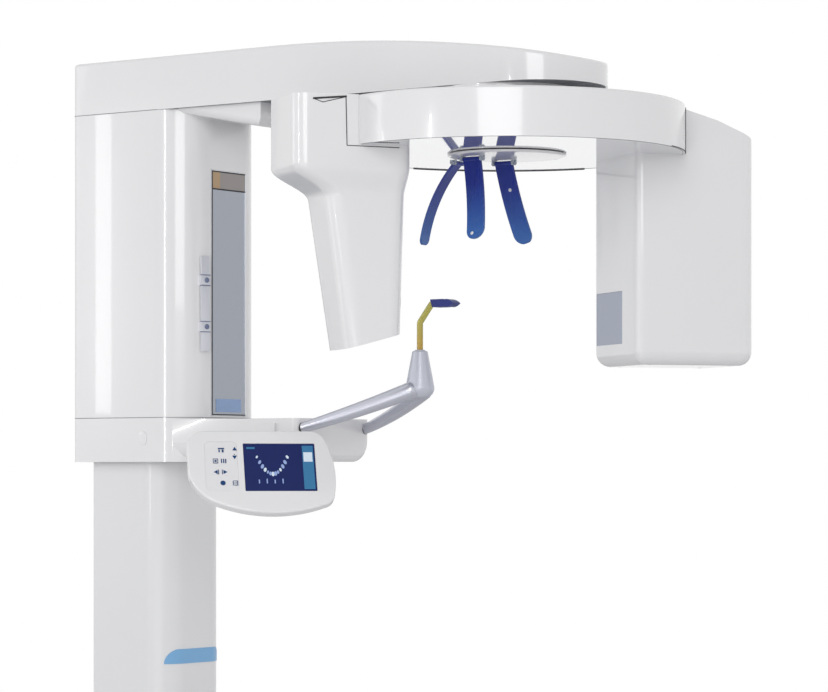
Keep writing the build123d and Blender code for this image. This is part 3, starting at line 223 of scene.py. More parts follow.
class Effects:
    """The shader node groups that several finishes share."""

    cloud_scale = 3.0
    cloud_detail = 4.0
    cloud_range = (0.42, 0.80)
    wipe_scale = 14.0
    wipe_detail = 6.0
    wipe_stretch = (1.0, 1.0, 0.25)
    wipe_share = 0.6
    grain_detail = 2.0
    scratch_detail = 3.0
    scratch_stretch = (0.06, 0.06, 1.0)

    def __init__(self) -> None:
        """Build each group once."""
        self.handled = self._handled()
        self.grain = self._relief("fine_grain", self.grain_detail)
        self.brush = self._relief("ground_lines", self.scratch_detail, self.scratch_stretch)
        self.fade = self._fade()

    @staticmethod
    def _new(name: str, inputs: dict[str, float | tuple], outputs: dict[str, str]) -> tuple:
        """Make an empty group with its sockets.

        Args:
            name: the group's name.
            inputs: socket names with their start values.
            outputs: socket names with their types.

        Returns:
            The tree, its input node and its output node.
        """
        tree = bpy.data.node_groups.new(name, "ShaderNodeTree")
        for key, value in inputs.items():
            kind = "NodeSocketColor" if isinstance(value, tuple) else "NodeSocketFloat"
            made = tree.interface.new_socket(key, in_out="INPUT", socket_type=kind)
            made.default_value = (*value, 1.0) if isinstance(value, tuple) else value
        for key, kind in outputs.items():
            tree.interface.new_socket(key, in_out="OUTPUT", socket_type=kind)
        return tree, tree.nodes.new("NodeGroupInput"), tree.nodes.new("NodeGroupOutput")

    @staticmethod
    def _noise(tree: bpy.types.NodeTree, scale: float, detail: float,
               stretch: Point = (1.0, 1.0, 1.0)) -> bpy.types.Node:
        """A noise texture on the unit's own coordinates, stretched if asked."""
        coords = tree.nodes.new("ShaderNodeTexCoord")
        mapping = tree.nodes.new("ShaderNodeMapping")
        mapping.inputs["Scale"].default_value = stretch
        noise = tree.nodes.new("ShaderNodeTexNoise")
        noise.inputs["Scale"].default_value = scale
        noise.inputs["Detail"].default_value = detail
        tree.links.new(coords.outputs["Object"], mapping.inputs["Vector"])
        tree.links.new(mapping.outputs["Vector"], noise.inputs["Vector"])
        return noise

    def _handled(self) -> bpy.types.NodeTree:
        """Faint clouds and wipe marks: a colour that drifts a little and a roughness that varies."""
        tree, source, out = self._new(
            "wiped_surface",
            {"Colour": (0.8, 0.8, 0.8), "Shade": (0.7, 0.7, 0.7), "Roughness": 0.3, "Marks": 0.1},
            {"Colour": "NodeSocketColor", "Roughness": "NodeSocketFloat"})
        clouds = self._noise(tree, self.cloud_scale, self.cloud_detail)
        wipes = self._noise(tree, self.wipe_scale, self.wipe_detail, self.wipe_stretch)
        blend = tree.nodes.new("ShaderNodeMapRange")
        blend.inputs["From Min"].default_value = self.cloud_range[0]
        blend.inputs["From Max"].default_value = self.cloud_range[1]
        mix = colour_mix(tree)
        amount = maths(tree, "MULTIPLY")
        spread = maths(tree, "MULTIPLY_ADD")
        share = maths(tree, "MULTIPLY", self.wipe_share)
        link = tree.links.new
        link(clouds.outputs["Fac"], blend.inputs["Value"])
        link(blend.outputs["Result"], amount.inputs[0])
        link(source.outputs["Marks"], amount.inputs[1])
        link(amount.outputs[0], mix.inputs["Factor"])
        link(source.outputs["Colour"], mix.inputs["A"])
        link(source.outputs["Shade"], mix.inputs["B"])
        link(mix.outputs["Result"], out.inputs["Colour"])
        link(source.outputs["Marks"], share.inputs[0])
        link(wipes.outputs["Fac"], spread.inputs[0])
        link(share.outputs[0], spread.inputs[1])
        link(source.outputs["Roughness"], spread.inputs[2])
        link(spread.outputs[0], out.inputs["Roughness"])
        return tree

    def _relief(self, name: str, detail: float, stretch: Point = (1.0, 1.0, 1.0)) -> bpy.types.NodeTree:
        """Fine even grain, or long fine scratches where the noise is stretched."""
        tree, source, out = self._new(name, {"Scale": 900.0, "Depth": 0.05},
                                      {"Height": "NodeSocketFloat"})
        noise = self._noise(tree, 1.0, detail, stretch)
        scaled = maths(tree, "MULTIPLY")
        tree.links.new(source.outputs["Scale"], noise.inputs["Scale"])
        tree.links.new(noise.outputs["Fac"], scaled.inputs[0])
        tree.links.new(source.outputs["Depth"], scaled.inputs[1])
        tree.links.new(scaled.outputs[0], out.inputs["Height"])
        return tree

    def _fade(self) -> bpy.types.NodeTree:
        """One colour at the foot of a piece that passes into another higher up."""
        tree, source, out = self._new(
            "fade_upwards", {"Foot": (0.5, 0.5, 0.5), "Head": (0.5, 0.5, 0.5), "Low": 0.0, "High": 1.0},
            {"Colour": "NodeSocketColor"})
        coords = tree.nodes.new("ShaderNodeTexCoord")
        parts = tree.nodes.new("ShaderNodeSeparateXYZ")
        blend = tree.nodes.new("ShaderNodeMapRange")
        mix = colour_mix(tree)
        link = tree.links.new
        link(coords.outputs["Object"], parts.inputs[0])
        link(parts.outputs["Z"], blend.inputs["Value"])
        link(source.outputs["Low"], blend.inputs["From Min"])
        link(source.outputs["High"], blend.inputs["From Max"])
        link(blend.outputs["Result"], mix.inputs["Factor"])
        link(source.outputs["Foot"], mix.inputs["A"])
        link(source.outputs["Head"], mix.inputs["B"])
        link(mix.outputs["Result"], out.inputs["Colour"])
        return tree


class PaintShop:
    """Turns finishes into materials, each made once."""

    def __init__(self) -> None:
        """Start with the shared effects and no materials."""
        self.effects = Effects()
        self.made: dict[str, bpy.types.Material] = {}

    def material(self, finish: Finish) -> bpy.types.Material:
        """The material for a finish.

        Args:
            finish: the surface wanted.

        Returns:
            Its material, built on first use.
        """
        if finish.name not in self.made:
            self.made[finish.name] = self._build(finish)
        return self.made[finish.name]

    def _build(self, finish: Finish) -> bpy.types.Material:
        """Wire the shared effects into a new material for one finish."""
        material = bpy.data.materials.new(finish.name)
        material.use_nodes = True
        tree = material.node_tree
        shader = tree.nodes["Principled BSDF"]
        self._plain_values(shader, finish)
        wiped = self._use(tree, self.effects.handled, Colour=finish.colour, Shade=finish.shade,
                          Roughness=finish.rough, Marks=finish.mark)
        tree.links.new(wiped.outputs["Colour"], shader.inputs["Base Color"])
        tree.links.new(wiped.outputs["Roughness"], shader.inputs["Roughness"])
        if finish.fade is not None:
            fade = self._use(tree, self.effects.fade, Foot=finish.fade.colour, Head=finish.colour,
                             Low=finish.fade.low, High=finish.fade.high)
            tree.links.new(fade.outputs["Colour"], wiped.inputs["Colour"])
        if finish.depth > 0:
            brushed = finish.relief is Relief.BRUSHED
            relief = self._use(tree, self.effects.brush if brushed else self.effects.grain,
                               Scale=finish.scale, Depth=1.0)
            bump = tree.nodes.new("ShaderNodeBump")
            bump.inputs["Strength"].default_value = min(1.0, finish.depth * 2)
            bump.inputs["Distance"].default_value = BUMP_REACH
            tree.links.new(relief.outputs["Height"], bump.inputs["Height"])
            tree.links.new(bump.outputs["Normal"], shader.inputs["Normal"])
        if finish.glow > 0:
            tree.links.new(wiped.outputs["Colour"], shader.inputs["Emission Color"])
            shader.inputs["Emission Strength"].default_value = finish.glow
        return material

    @staticmethod
    def _use(tree: bpy.types.NodeTree, group: bpy.types.NodeTree,
             **values: float | Colour) -> bpy.types.Node:
        """Place a shared group in a material and set its sockets."""
        node = tree.nodes.new("ShaderNodeGroup")
        node.node_tree = group
        for key, value in values.items():
            node.inputs[key].default_value = (*value, 1.0) if isinstance(value, tuple) else value
        return node

    @staticmethod
    def _plain_values(shader: bpy.types.Node, finish: Finish) -> None:
        """Set the values that are the same all over the surface."""
        shader.inputs["Metallic"].default_value = finish.metallic
        shader.inputs["Coat Weight"].default_value = finish.coat
        shader.inputs["Coat Roughness"].default_value = COAT_ROUGH
        shader.inputs["Transmission Weight"].default_value = finish.transmission
        shader.inputs["IOR"].default_value = PLASTIC_IOR
        shader.inputs["Specular IOR Level"].default_value = finish.shine


class MeshMaker:
    """Builds small dressed pieces and sets them riding on a CAD body."""

    def __init__(self, shop: PaintShop) -> None:
        """Keep the paint shop that dresses the pieces."""
        self.shop = shop
        self.count = 0

    def piece(self, name: str, mesh: bpy.types.Mesh, finish: Finish, body: str,
              smooth: float = 30.0) -> bpy.types.Object:
        """Make an object from a mesh, dress it and let it ride.

        Args:
            name: the piece's name.
            mesh: its mesh, already in the CAD frame.
            finish: its surface.
            body: the CAD body that carries it.
            smooth: the largest angle between faces that shade as one, in degrees.

        Returns:
            The new object.
        """
        made = bpy.data.objects.new(name, mesh)
        bpy.context.scene.collection.objects.link(made)
        mesh.materials.append(self.shop.material(finish))
        mesh.shade_smooth()
        mesh.set_sharp_from_angle(angle=math.radians(smooth))
        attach(made, body)
        self.count += 1
        LOG.info("piece %s on %s, %d faces", name, body, len(mesh.polygons))
        return made

    @staticmethod
    def from_bmesh(name: str, shape: bmesh.types.BMesh) -> bpy.types.Mesh:
        """Turn a working mesh into a finished one with its normals outwards."""
        bmesh.ops.recalc_face_normals(shape, faces=shape.faces)
        mesh = bpy.data.meshes.new(name)
        shape.to_mesh(mesh)
        shape.free()
        return mesh

    def rounded_bar(self, name: str, path: list[Point], radius: float, finish: Finish, body: str,
                    closed: bool = False) -> bpy.types.Object:
        """A thin round seam or joint line along a list of points.

        Args:
            name: the piece's name.
            path: its centre line.
            radius: half its thickness.
            finish: its surface.
            body: the CAD body that carries it.
            closed: whether the last point meets the first.

        Returns:
            The new object.
        """
        sides = LINE_SIDES
        shape = bmesh.new()
        points = [Vector(p) for p in path]
        total = len(points)
        rings = []
        across = None
        for i, here in enumerate(points):
            before = points[i - 1] if i or closed else here
            after = points[(i + 1) % total] if i < total - 1 or closed else here
            ahead = (after - before).normalized()
            if across is None:
                helper = Vector((0, 0, 1)) if abs(ahead.z) < 0.9 else Vector((1, 0, 0))
                across = ahead.cross(helper).normalized()
            else:
                across = (across - ahead * across.dot(ahead)).normalized()
            up = ahead.cross(across)
            rings.append([shape.verts.new(here + radius * (math.cos(a) * across + math.sin(a) * up))
                          for a in (math.tau * k / sides for k in range(sides))])
        last = total if closed else total - 1
        for i in range(last):
            one, two = rings[i], rings[(i + 1) % total]
            for k in range(sides):
                shape.faces.new((one[k], one[(k + 1) % sides], two[(k + 1) % sides], two[k]))
        if not closed:
            shape.faces.new(rings[0])
            shape.faces.new(rings[-1])
        return self.piece(name, self.from_bmesh(name, shape), finish, body, LINE_SMOOTH)

    def plate(self, name: str, outline: Outline, thick: float, place: Matrix,
              finish: Finish, body: str, soften: float = 0.0) -> bpy.types.Object:
        """A flat plate from an outline in its own XY plane, standing up to a thickness.

        Args:
            name: the piece's name.
            outline: the corners, in order.
            thick: how far it stands out along its own Z.
            place: the matrix that sets it in the CAD frame.
            finish: its surface.
            body: the CAD body that carries it.
            soften: the width of the bevel round its edges.

        Returns:
            The new object.
        """
        shape = bmesh.new()
        face = shape.faces.new([shape.verts.new((x, y, 0.0)) for x, y in outline])
        raised = bmesh.ops.extrude_face_region(shape, geom=[face])
        corners = [g for g in raised["geom"] if isinstance(g, bmesh.types.BMVert)]
        bmesh.ops.translate(shape, verts=corners, vec=(0, 0, thick))
        if soften > 0:
            rim = [e for e in shape.edges if all(abs(v.co.z - thick) < TINY for v in e.verts)]
            bmesh.ops.bevel(shape, geom=rim, offset=soften, segments=2, affect="EDGES", profile=0.5)
        shape.transform(place)
        return self.piece(name, self.from_bmesh(name, shape), finish, body)

    def turned(self, name: str, profile: Outline | Profile, place: Matrix, finish: Finish,
               body: str, sides: int = 40) -> bpy.types.Object:
        """A turned piece from (radius, height) pairs about its own Z axis.

        Args:
            name: the piece's name.
            profile: radius and height pairs, from one end to the other.
            place: the matrix that sets it in the CAD frame.
            finish: its surface.
            body: the CAD body that carries it.
            sides: the number of flats round it.

        Returns:
            The new object.
        """
        shape = bmesh.new()
        rings = []
        for radius, height in profile:
            if radius <= TINY:
                rings.append([shape.verts.new((0, 0, height))])
                continue
            rings.append([shape.verts.new((radius * math.cos(math.tau * k / sides),
                                           radius * math.sin(math.tau * k / sides), height))
                          for k in range(sides)])
        for one, two in zip(rings, rings[1:]):
            for k in range(sides):
                nxt = (k + 1) % sides
                loop = [one[k % len(one)], one[nxt % len(one)], two[nxt % len(two)], two[k % len(two)]]
                unique = list(dict.fromkeys(loop))
                if len(unique) > 2:
                    shape.faces.new(unique)
        shape.transform(place)
        return self.piece(name, self.from_bmesh(name, shape), finish, body, TURNED_SMOOTH)


@dataclass
class Nodes:
    """The CAD nodes: each keeps its shape and gets its finish."""

    shop: PaintShop
    frame: dict
    crease: float = 28.0
    weld: float = 0.00001

    def dress(self) -> None:
        """Give each node the material of its slot, with true creases kept sharp."""
        finishes = {finish.name: finish for finish in NODE_FINISHES}
        slots = {row["node"]: row["material_slot"] for row in self.frame["record"]["subparts"]}
        for name, node in self.frame["nodes"].items():
            finish = PAINTED.get(name, finishes[slots[name]])
            material = self.shop.material(finish)
            if not node.material_slots:
                node.data.materials.append(material)
            for held in node.material_slots:
                held.material = material
            self._smooth(node)
            LOG.info("node %s dressed in %s", name, finish.name)

    def _smooth(self, node: bpy.types.Object) -> None:
        """Let round faces shade as one and keep creases, by modifiers alone."""
        if "custom_normal" in node.data.attributes:
            node.data.attributes.remove(node.data.attributes["custom_normal"])
        node.data.polygons.foreach_set("use_smooth", [True] * len(node.data.polygons))
        joined = node.modifiers.new("joined_seams", "WELD")
        joined.merge_threshold = self.weld
        split = node.modifiers.new("kept_creases", "EDGE_SPLIT")
        split.split_angle = math.radians(self.crease)
        split.use_edge_sharp = False


@dataclass
class Column:
    """The round cornered carriage on the column: its seams, and its rear cover's gaps and screws."""

    maker: MeshMaker
    back: float = -0.109
    front: float = 0.190
    half: float = 0.130
    nose: float = 0.085
    rear_corner: float = 0.014
    corner_steps: int = 14
    arm_level: float = 1.845
    shelf_level: float = 1.236
    seam: float = 0.0007
    cover_edge: float = 0.1039
    screw_y: float = 0.094
    screw_levels: Point = (1.262, 1.55, 1.822)
    screw_r: float = 0.0042
    screw_profile: Profile = ((1.0, 0.0), (1.0, 0.0006), (0.85, 0.0014), (0.45, 0.0017),
                              (0.42, 0.0006), (0.0, 0.0006))

    def plan(self) -> Outline:
        """The carriage outline seen from above.

        Returns:
            Its points, starting at the rear near corner.
        """
        small = self.rear_corner
        rear_x = self.back + small
        nose_x = self.front - self.nose
        corners = ((rear_x, -self.half + small, small, 180.0),
                   (nose_x, -self.half + self.nose, self.nose, 270.0),
                   (nose_x, self.half - self.nose, self.nose, 0.0),
                   (rear_x, self.half - small, small, 90.0))
        points = []
        for x, y, radius, start in corners:
            for i in range(self.corner_steps + 1):
                turn = math.radians(start + 90.0 * i / self.corner_steps)
                points.append((x + radius * math.cos(turn), y + radius * math.sin(turn)))
        return points

    def build(self) -> None:
        """Add the shadow lines between mouldings and the screws and gaps of the rear cover."""
        for name, level in (("seam_arm_carriage", self.arm_level),
                            ("seam_carriage_shelf", self.shelf_level)):
            self.maker.rounded_bar(name, [(x, y, level) for x, y in self.plan()], self.seam, SEAM,
                                   "lift", closed=True)
        to_rear = Matrix.Rotation(math.radians(-90), 4, "Y")
        profile = [(self.screw_r * share, height) for share, height in self.screw_profile]
        for where, side in SIDES:
            for i, level in enumerate(self.screw_levels):
                place = Matrix.Translation((self.back, side * self.screw_y, level)) @ to_rear
                self.maker.turned(f"cover_screw_{where}_{i}", profile, place, STEEL, "lift", sides=18)
            edge = side * self.cover_edge
            path = [(self.back, edge, self.shelf_level), (self.back, edge, self.arm_level)]
            self.maker.rounded_bar(f"cover_gap_{where}", path, self.seam, SEAM, "lift")


@dataclass
class Mirror:
    """The strip of mirror on the carriage front, with painted reflections as bands at its ends, and the
    gaps round it.
    """

    maker: MeshMaker
    face_x: float = 0.1899
    frame_x: float = 0.1902
    half: float = 0.0515
    low: float = 1.2435
    high: float = 1.7245
    top_reflection_tall: float = 0.034
    foot_reflection_levels: tuple[float, float] = (0.004, 0.030)
    foot_reflection_half: float = 0.040
    amber_reflection_wide: float = 0.024
    reflection_thick: float = 0.0003
    amber_reflection_thick: float = 0.0006
    gap: float = 0.0014
    gap_out: float = 0.0013
    side_over: float = 0.002
    foot_under: float = 0.0015
    top_over: float = 0.001

    def band(self, name: str, across: tuple[float, float], levels: tuple[float, float],
             finish: Finish, thick: float) -> None:
        """A band of painted reflection on the mirror, standing in for what the glass reflects.
            across: its two side edges.
            levels: its lower and upper edges.
            finish: its surface.
            thick: how far it stands off the glass.
        """
        (left, right), (low, high) = across, levels
        outline = [(left, low), (right, low), (right, high), (left, high)]
        place = Matrix.Translation((self.face_x, 0, 0)) @ STOOD_UP
        self.maker.plate(name, outline, thick, place, finish, "lift")

    def gaps(self) -> None:
        """The dark lines down one side of the mirror, across its ends and under the painted reflection
        band at its top.
        """
        side = -self.half - self.gap_out
        foot, head = self.low - self.foot_under, self.high + self.top_over
        band = self.high - self.top_reflection_tall
        for name, one, two in (
                ("mirror_side_gap", (side, self.low - self.side_over), (side, self.high + self.side_over)),
                ("mirror_foot_gap", (side, foot), (-side, foot)),
                ("mirror_top_gap", (side, head), (-side, head)),
                ("mirror_band_gap", (side, band), (-side, band))):
            self.maker.rounded_bar(name, [(self.frame_x, *one), (self.frame_x, *two)], self.gap, GASKET_AND_SHADOW,
                                   "lift")

    def build(self) -> None:
        """Add the gaps and the painted reflections: a brown band with an amber end at the top and a blue
        one at the foot.
        """
        self.gaps()
        top = (self.high - self.top_reflection_tall, self.high)
        foot = tuple(self.low + rise for rise in self.foot_reflection_levels)
        # These three bands are painted reflection on the glass.
        self.band("mirror_top_painted_reflection", (-self.half, self.half), top, REFLECTION_BROWN_PAINTED, self.reflection_thick)
        self.band("mirror_foot_painted_reflection", (-self.foot_reflection_half, self.foot_reflection_half), foot, REFLECTION_BLUE_PAINTED, self.reflection_thick)
        self.band("mirror_amber_painted_reflection", (-self.half, -self.half + self.amber_reflection_wide), top, REFLECTION_AMBER_PAINTED,
                  self.amber_reflection_thick)


@dataclass
class SideRail:
    """The short accessory rail bent round the carriage's near front corner, with its two clips."""

    maker: MeshMaker
    nose: tuple[float, float] = (0.105, -0.045)
    inner: float = 0.0880
    outer: float = 0.0935
    span: tuple[float, float] = (-25.5, -14.0)
    low: float = 1.367
    high: float = 1.555
    clips: tuple[float, float] = (1.4155, 1.5075)
    clip_half: float = 0.011
    clip_deep: float = 0.0034
    clip_proud: float = 0.0010
    clip_over: float = 0.6
    edge: float = 0.0016
    edge_over: float = 0.8
    knob_in: float = 4.5
    knob_profile: Profile = ((0.0052, 0.0), (0.0052, 0.0022), (0.0040, 0.0034), (0.0, 0.0034))
    soft_edge: float = 0.0012
    soft_share: float = 0.3
    steps: int = 12

    def on_arc(self, radius: float, angle: float) -> tuple[float, float]:
        """A point on an arc about the corner's centre, seen from above."""
        return (self.nose[0] + radius * math.cos(angle), self.nose[1] + radius * math.sin(angle))

    def bent(self, name: str, low: float, high: float, inner: float, outer: float,
             over: float, finish: Finish) -> bpy.types.Object:
        """A plate bent round the corner.

        Args:
            name: the piece's name.
            low: its foot.
            high: its head.
            inner: the radius of its back.
            outer: the radius of its face.
            over: how many degrees it passes the rail at each end.
            finish: its surface.

        Returns:
            The new object.
        """
        first, last = self.span[0] - over, self.span[1] + over
        angles = [math.radians(first + (last - first) * i / self.steps) for i in range(self.steps + 1)]
        outline = [self.on_arc(outer, a) for a in angles]
        outline += [self.on_arc(inner, a) for a in reversed(angles)]
        soften = min(self.soft_edge, (high - low) * self.soft_share, (outer - inner) * self.soft_share)
        return self.maker.plate(name, outline, high - low, Matrix.Translation((0, 0, low)), finish,
                                "lift", soften)

    def build(self) -> None:
        """Add the rail, and each clip with its band, its two edges and its knob."""
        rail = self.bent("accessory_rail", self.low, self.high, self.inner, self.outer, 0.0, RAIL)
        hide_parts("side_rail")
        turn = math.radians(self.span[1] - self.knob_in)
        outwards = Matrix.Rotation(turn, 4, "Z") @ Matrix.Rotation(math.radians(90), 4, "Y")
        for i, mid in enumerate(self.clips):
            low, high = mid - self.clip_half, mid + self.clip_half
            band = self.bent(f"rail_clip_{i}", low, high, self.inner - self.clip_deep,
                             self.outer + self.clip_proud, self.clip_over, RAIL)
            if i == 0:
                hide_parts("rail_clips")
            for end, level in (("foot", low), ("head", high - self.edge)):
                self.bent(f"rail_clip_{end}_{i}", level, level + self.edge, self.inner,
                          self.outer + self.edge, self.edge_over, CLIP)
            place = Matrix.Translation((*self.on_arc(self.outer, turn), mid)) @ outwards
            self.maker.turned(f"rail_knob_{i}", self.knob_profile, place, CLIP, "lift", sides=24)


@dataclass
class Gantry:
    """The turning ring's joints with its heads and its painted shadow lines, and the fixed plate under it
    with its hinges.
    """

    maker: MeshMaker
    axis_x: float = 0.855
    turn: float = 55.0
    ring_r: float = 0.334
    bottom: float = 1.725
    top: float = 1.815
    tube_half: float = 0.085
    sensor_half: float = 0.105
    line: float = 0.0008
    joint_line: float = 0.0017
    joint_clear: float = 0.12
    joint_foot: float = 0.0005
    joint_head: float = 0.004
    proud: float = 0.0002
    edge_angle: float = -21.0
    edge_step: float = 2.6
    edge_points: int = 11
    edge_foot: float = 0.001
    edge_head: float = 0.003
    edge_proud: float = 0.0004
    rim_points: int = 60
    rim_in: float = 0.0043
    rim_line: float = 0.0005
    far_start: float = 41.0
    far_step: float = 3.2
    far_points: int = 20
    far_in: float = 0.0016
    far_drop: float = 0.0006
    far_share: float = 0.8
    foot_share: float = 0.6
    # The first two lines are dark joints; the three slot lines are painted shadow in the slot between the
    # tube head and the arm.
    tube_lines: tuple[tuple[str, tuple[float, float], tuple[float, float], float], ...] = (
        ("tube_edge_joint", (-0.348, 1.8105), (-0.346, 1.7215), 0.5),
        ("tube_foot_joint", (-0.346, 1.7215), (-0.245, 1.7205), 0.45),
        ("tube_top_slot_shadow", (-0.411, 1.8045), (-0.347, 1.8105), 1.1),
        ("tube_slot_shadow_low", (-0.409, 1.8040), (-0.392, 1.7985), 0.45),
        ("tube_slot_shadow_lip", (-0.392, 1.7985), (-0.352, 1.8085), 0.45))
    disc_r: float = 0.112
    disc_low: float = 1.7194
    disc_top: float = 1.7236
    disc_profile: Profile = ((0.0, 0.0), (0.90, 0.0), (0.96, 0.10), (0.985, 0.28), (1.0, 0.6),
                             (1.0, 1.0), (0.0, 1.0))
    hinges_at: tuple[tuple[str, float, float, float, float], ...] = (
        ("temple_near", 0.813, -0.054, 0.0, 0.0196),
        ("temple_far", 0.813, 0.054, 0.0, 0.0196),
        ("brow", 0.744, 0.0, 90.0, 0.0131))
    cheek: float = 0.0045
    cheek_low: float = 1.7092
    cheek_half: float = 0.0065
    cheek_slim: float = 0.55
    cheek_round: float = 0.0035
    cheek_short: float = 0.0006
    marks_at: tuple[tuple[str, Point, Point, str], ...] = (
        ("support_mark_near", (0.8329, -0.0844, 1.5728), (-0.062, -0.942, 0.329), "temple_left"),
        ("support_mark_far", (0.8249, 0.0566, 1.6633), (0.028, -0.988, -0.150), "temple_right"))
    mark_profile: Profile = ((0.0034, -0.0006), (0.0034, 0.0003), (0.0025, 0.0009), (0.0, 0.0011))
    screws_at: Profile = ((0.262, -0.070), (0.262, 0.070), (0.43, -0.068), (0.43, 0.068))
    screw_level: float = 1.3301
    screw_profile: Profile = ((0.0038, 0.0), (0.0038, 0.0002), (0.0018, 0.0004), (0.0016, -0.0003),
                              (0.0, -0.0003))

    def at(self, along: float, across: float, z: float) -> Point:
        """A point given along the gantry and across it, in the CAD frame.

        Args:
            along: metres from the turning axis towards the sensor head.
            across: metres to the side of that line.
            z: its height.

        Returns:
            The point.
        """
        turn = math.radians(self.turn)
        return (self.axis_x + along * math.cos(turn) - across * math.sin(turn),
                along * math.sin(turn) + across * math.cos(turn), z)

    def rim_point(self, angle: float, z: float, out: float = 0.0) -> Point:
        """A point on the ring's rim.

        Args:
            angle: degrees from the sensor head.
            z: its height.
            out: metres outside the rim.

        Returns:
            The point in the CAD frame.
        """
        turn, radius = math.radians(angle), self.ring_r + out
        return self.at(radius * math.cos(turn), radius * math.sin(turn), z)

    def joint(self, name: str, path: list[Point], radius: float) -> None:
        """A dark line that turns with the gantry, for a joint and also for painted shadow.

        Args:
            name: the line's name.
            path: its points.
            radius: half its thickness.
        """
        self.maker.rounded_bar(name, path, radius, GASKET_AND_SHADOW, "gantry")

    def build(self) -> None:
        """Add the joints and rims of the ring, a painted shadow along its far underside rim, the fixed
        plate under it and the foot screws.
        """
        for name, half, centre, side in (("sensor_joint_near", self.sensor_half, 0.0, -1),
                                         ("sensor_joint_far", self.sensor_half, 0.0, 1),
                                         ("tube_joint_near", self.tube_half, 180.0, -1)):
            spread = math.degrees(math.asin(half / self.ring_r))
            angle = centre + side * (spread + self.joint_clear)
            levels = (self.bottom + self.joint_foot, self.top - self.joint_head)
            self.joint(name, [self.rim_point(angle, z, self.proud) for z in levels], self.line)
        rim = [self.rim_point(360.0 / self.rim_points * i, self.bottom, -self.rim_in)
               for i in range(self.rim_points)]
        self.maker.rounded_bar("underside_gap", rim, self.rim_line, SEAM, "gantry", closed=True)
        # A painted shadow along the far underside rim of the ring.
        self.joint("far_rim_painted_shadow", [self.rim_point(self.far_start + self.far_step * i,
                                                  self.bottom - self.far_drop, -self.far_in)
                                   for i in range(self.far_points)], self.joint_line * self.far_share)
        self.head_lines()
        self.disc()
        self.foot_screws()

    def head_lines(self) -> None:
        """The dark joints where the ring's skin stops at each head, on the side away from the arm, and the
        painted shadow in the slot above the tube head.
        """
        edge, line = self.edge_angle, self.joint_line
        levels = (self.bottom + self.edge_foot, self.top - self.edge_head)
        upright = [self.rim_point(edge, z, self.edge_proud) for z in levels]
        along = [self.rim_point(edge - self.edge_step * i, self.bottom + self.edge_proud, self.proud)
                 for i in range(self.edge_points)]
        self.joint("sensor_edge_joint", upright, line)
        self.joint("sensor_foot_joint", along, line * self.foot_share)
        near = -self.tube_half - self.proud
        for name, one, two, share in self.tube_lines:
            self.joint(name, [self.at(one[0], near, one[1]), self.at(two[0], near, two[1])],
                       line * share)

    def disc(self) -> None:
        """The low fixed plate that the head supports hang from, close under the turning ring."""
        rise = self.disc_top - self.disc_low
        profile = [(self.disc_r * share, rise * up) for share, up in self.disc_profile]
        place = Matrix.Translation((self.axis_x, 0.0, self.disc_low))
        made = self.maker.turned("support_plate", profile, place, SHELL, "lift", sides=96)
        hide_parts("support_disc")
        self.hinges()
        self.marks()

    def hinges(self) -> None:
        """The small clear cheeks that hold the pivot pin of each head support."""
        half, deep = self.cheek_half, self.disc_low - self.cheek_low
        slim, tip, start = half * self.cheek_slim, self.cheek_short - deep, self.cheek_round - deep
        outline = [(-half, 0.0), (half, 0.0), (half, start), (slim, tip), (-slim, tip), (-half, start)]
        for name, x, y, along, gap in self.hinges_at:
            at = Matrix.Translation((x, y, self.disc_low)) @ Matrix.Rotation(math.radians(along), 4, "Z")
            for letter, offset in (("a", -gap - self.cheek), ("b", gap)):
                place = at @ Matrix.Translation((offset, 0, 0)) @ STOOD_UP
                self.maker.plate(f"{name}_cheek_{letter}", outline, self.cheek, place, PALE_CLEAR, "lift")

    def marks(self) -> None:
        """A small pale dome on each side support."""
        for name, at, out, body in self.marks_at:
            place = Matrix.Translation(at) @ Vector(out).to_track_quat("Z", "Y").to_matrix().to_4x4()
            self.maker.turned(name, self.mark_profile, place, SHELL, body, sides=20)

    def foot_screws(self) -> None:
        """Small screws in the flat foot of the sensor head."""
        facing_down = Matrix.Rotation(math.pi, 4, "X")
        for i, (along, across) in enumerate(self.screws_at):
            place = Matrix.Translation(self.at(along, across, self.screw_level)) @ facing_down
            self.maker.turned(f"sensor_screw_{i}", self.screw_profile, place, STEEL, "gantry", sides=16)


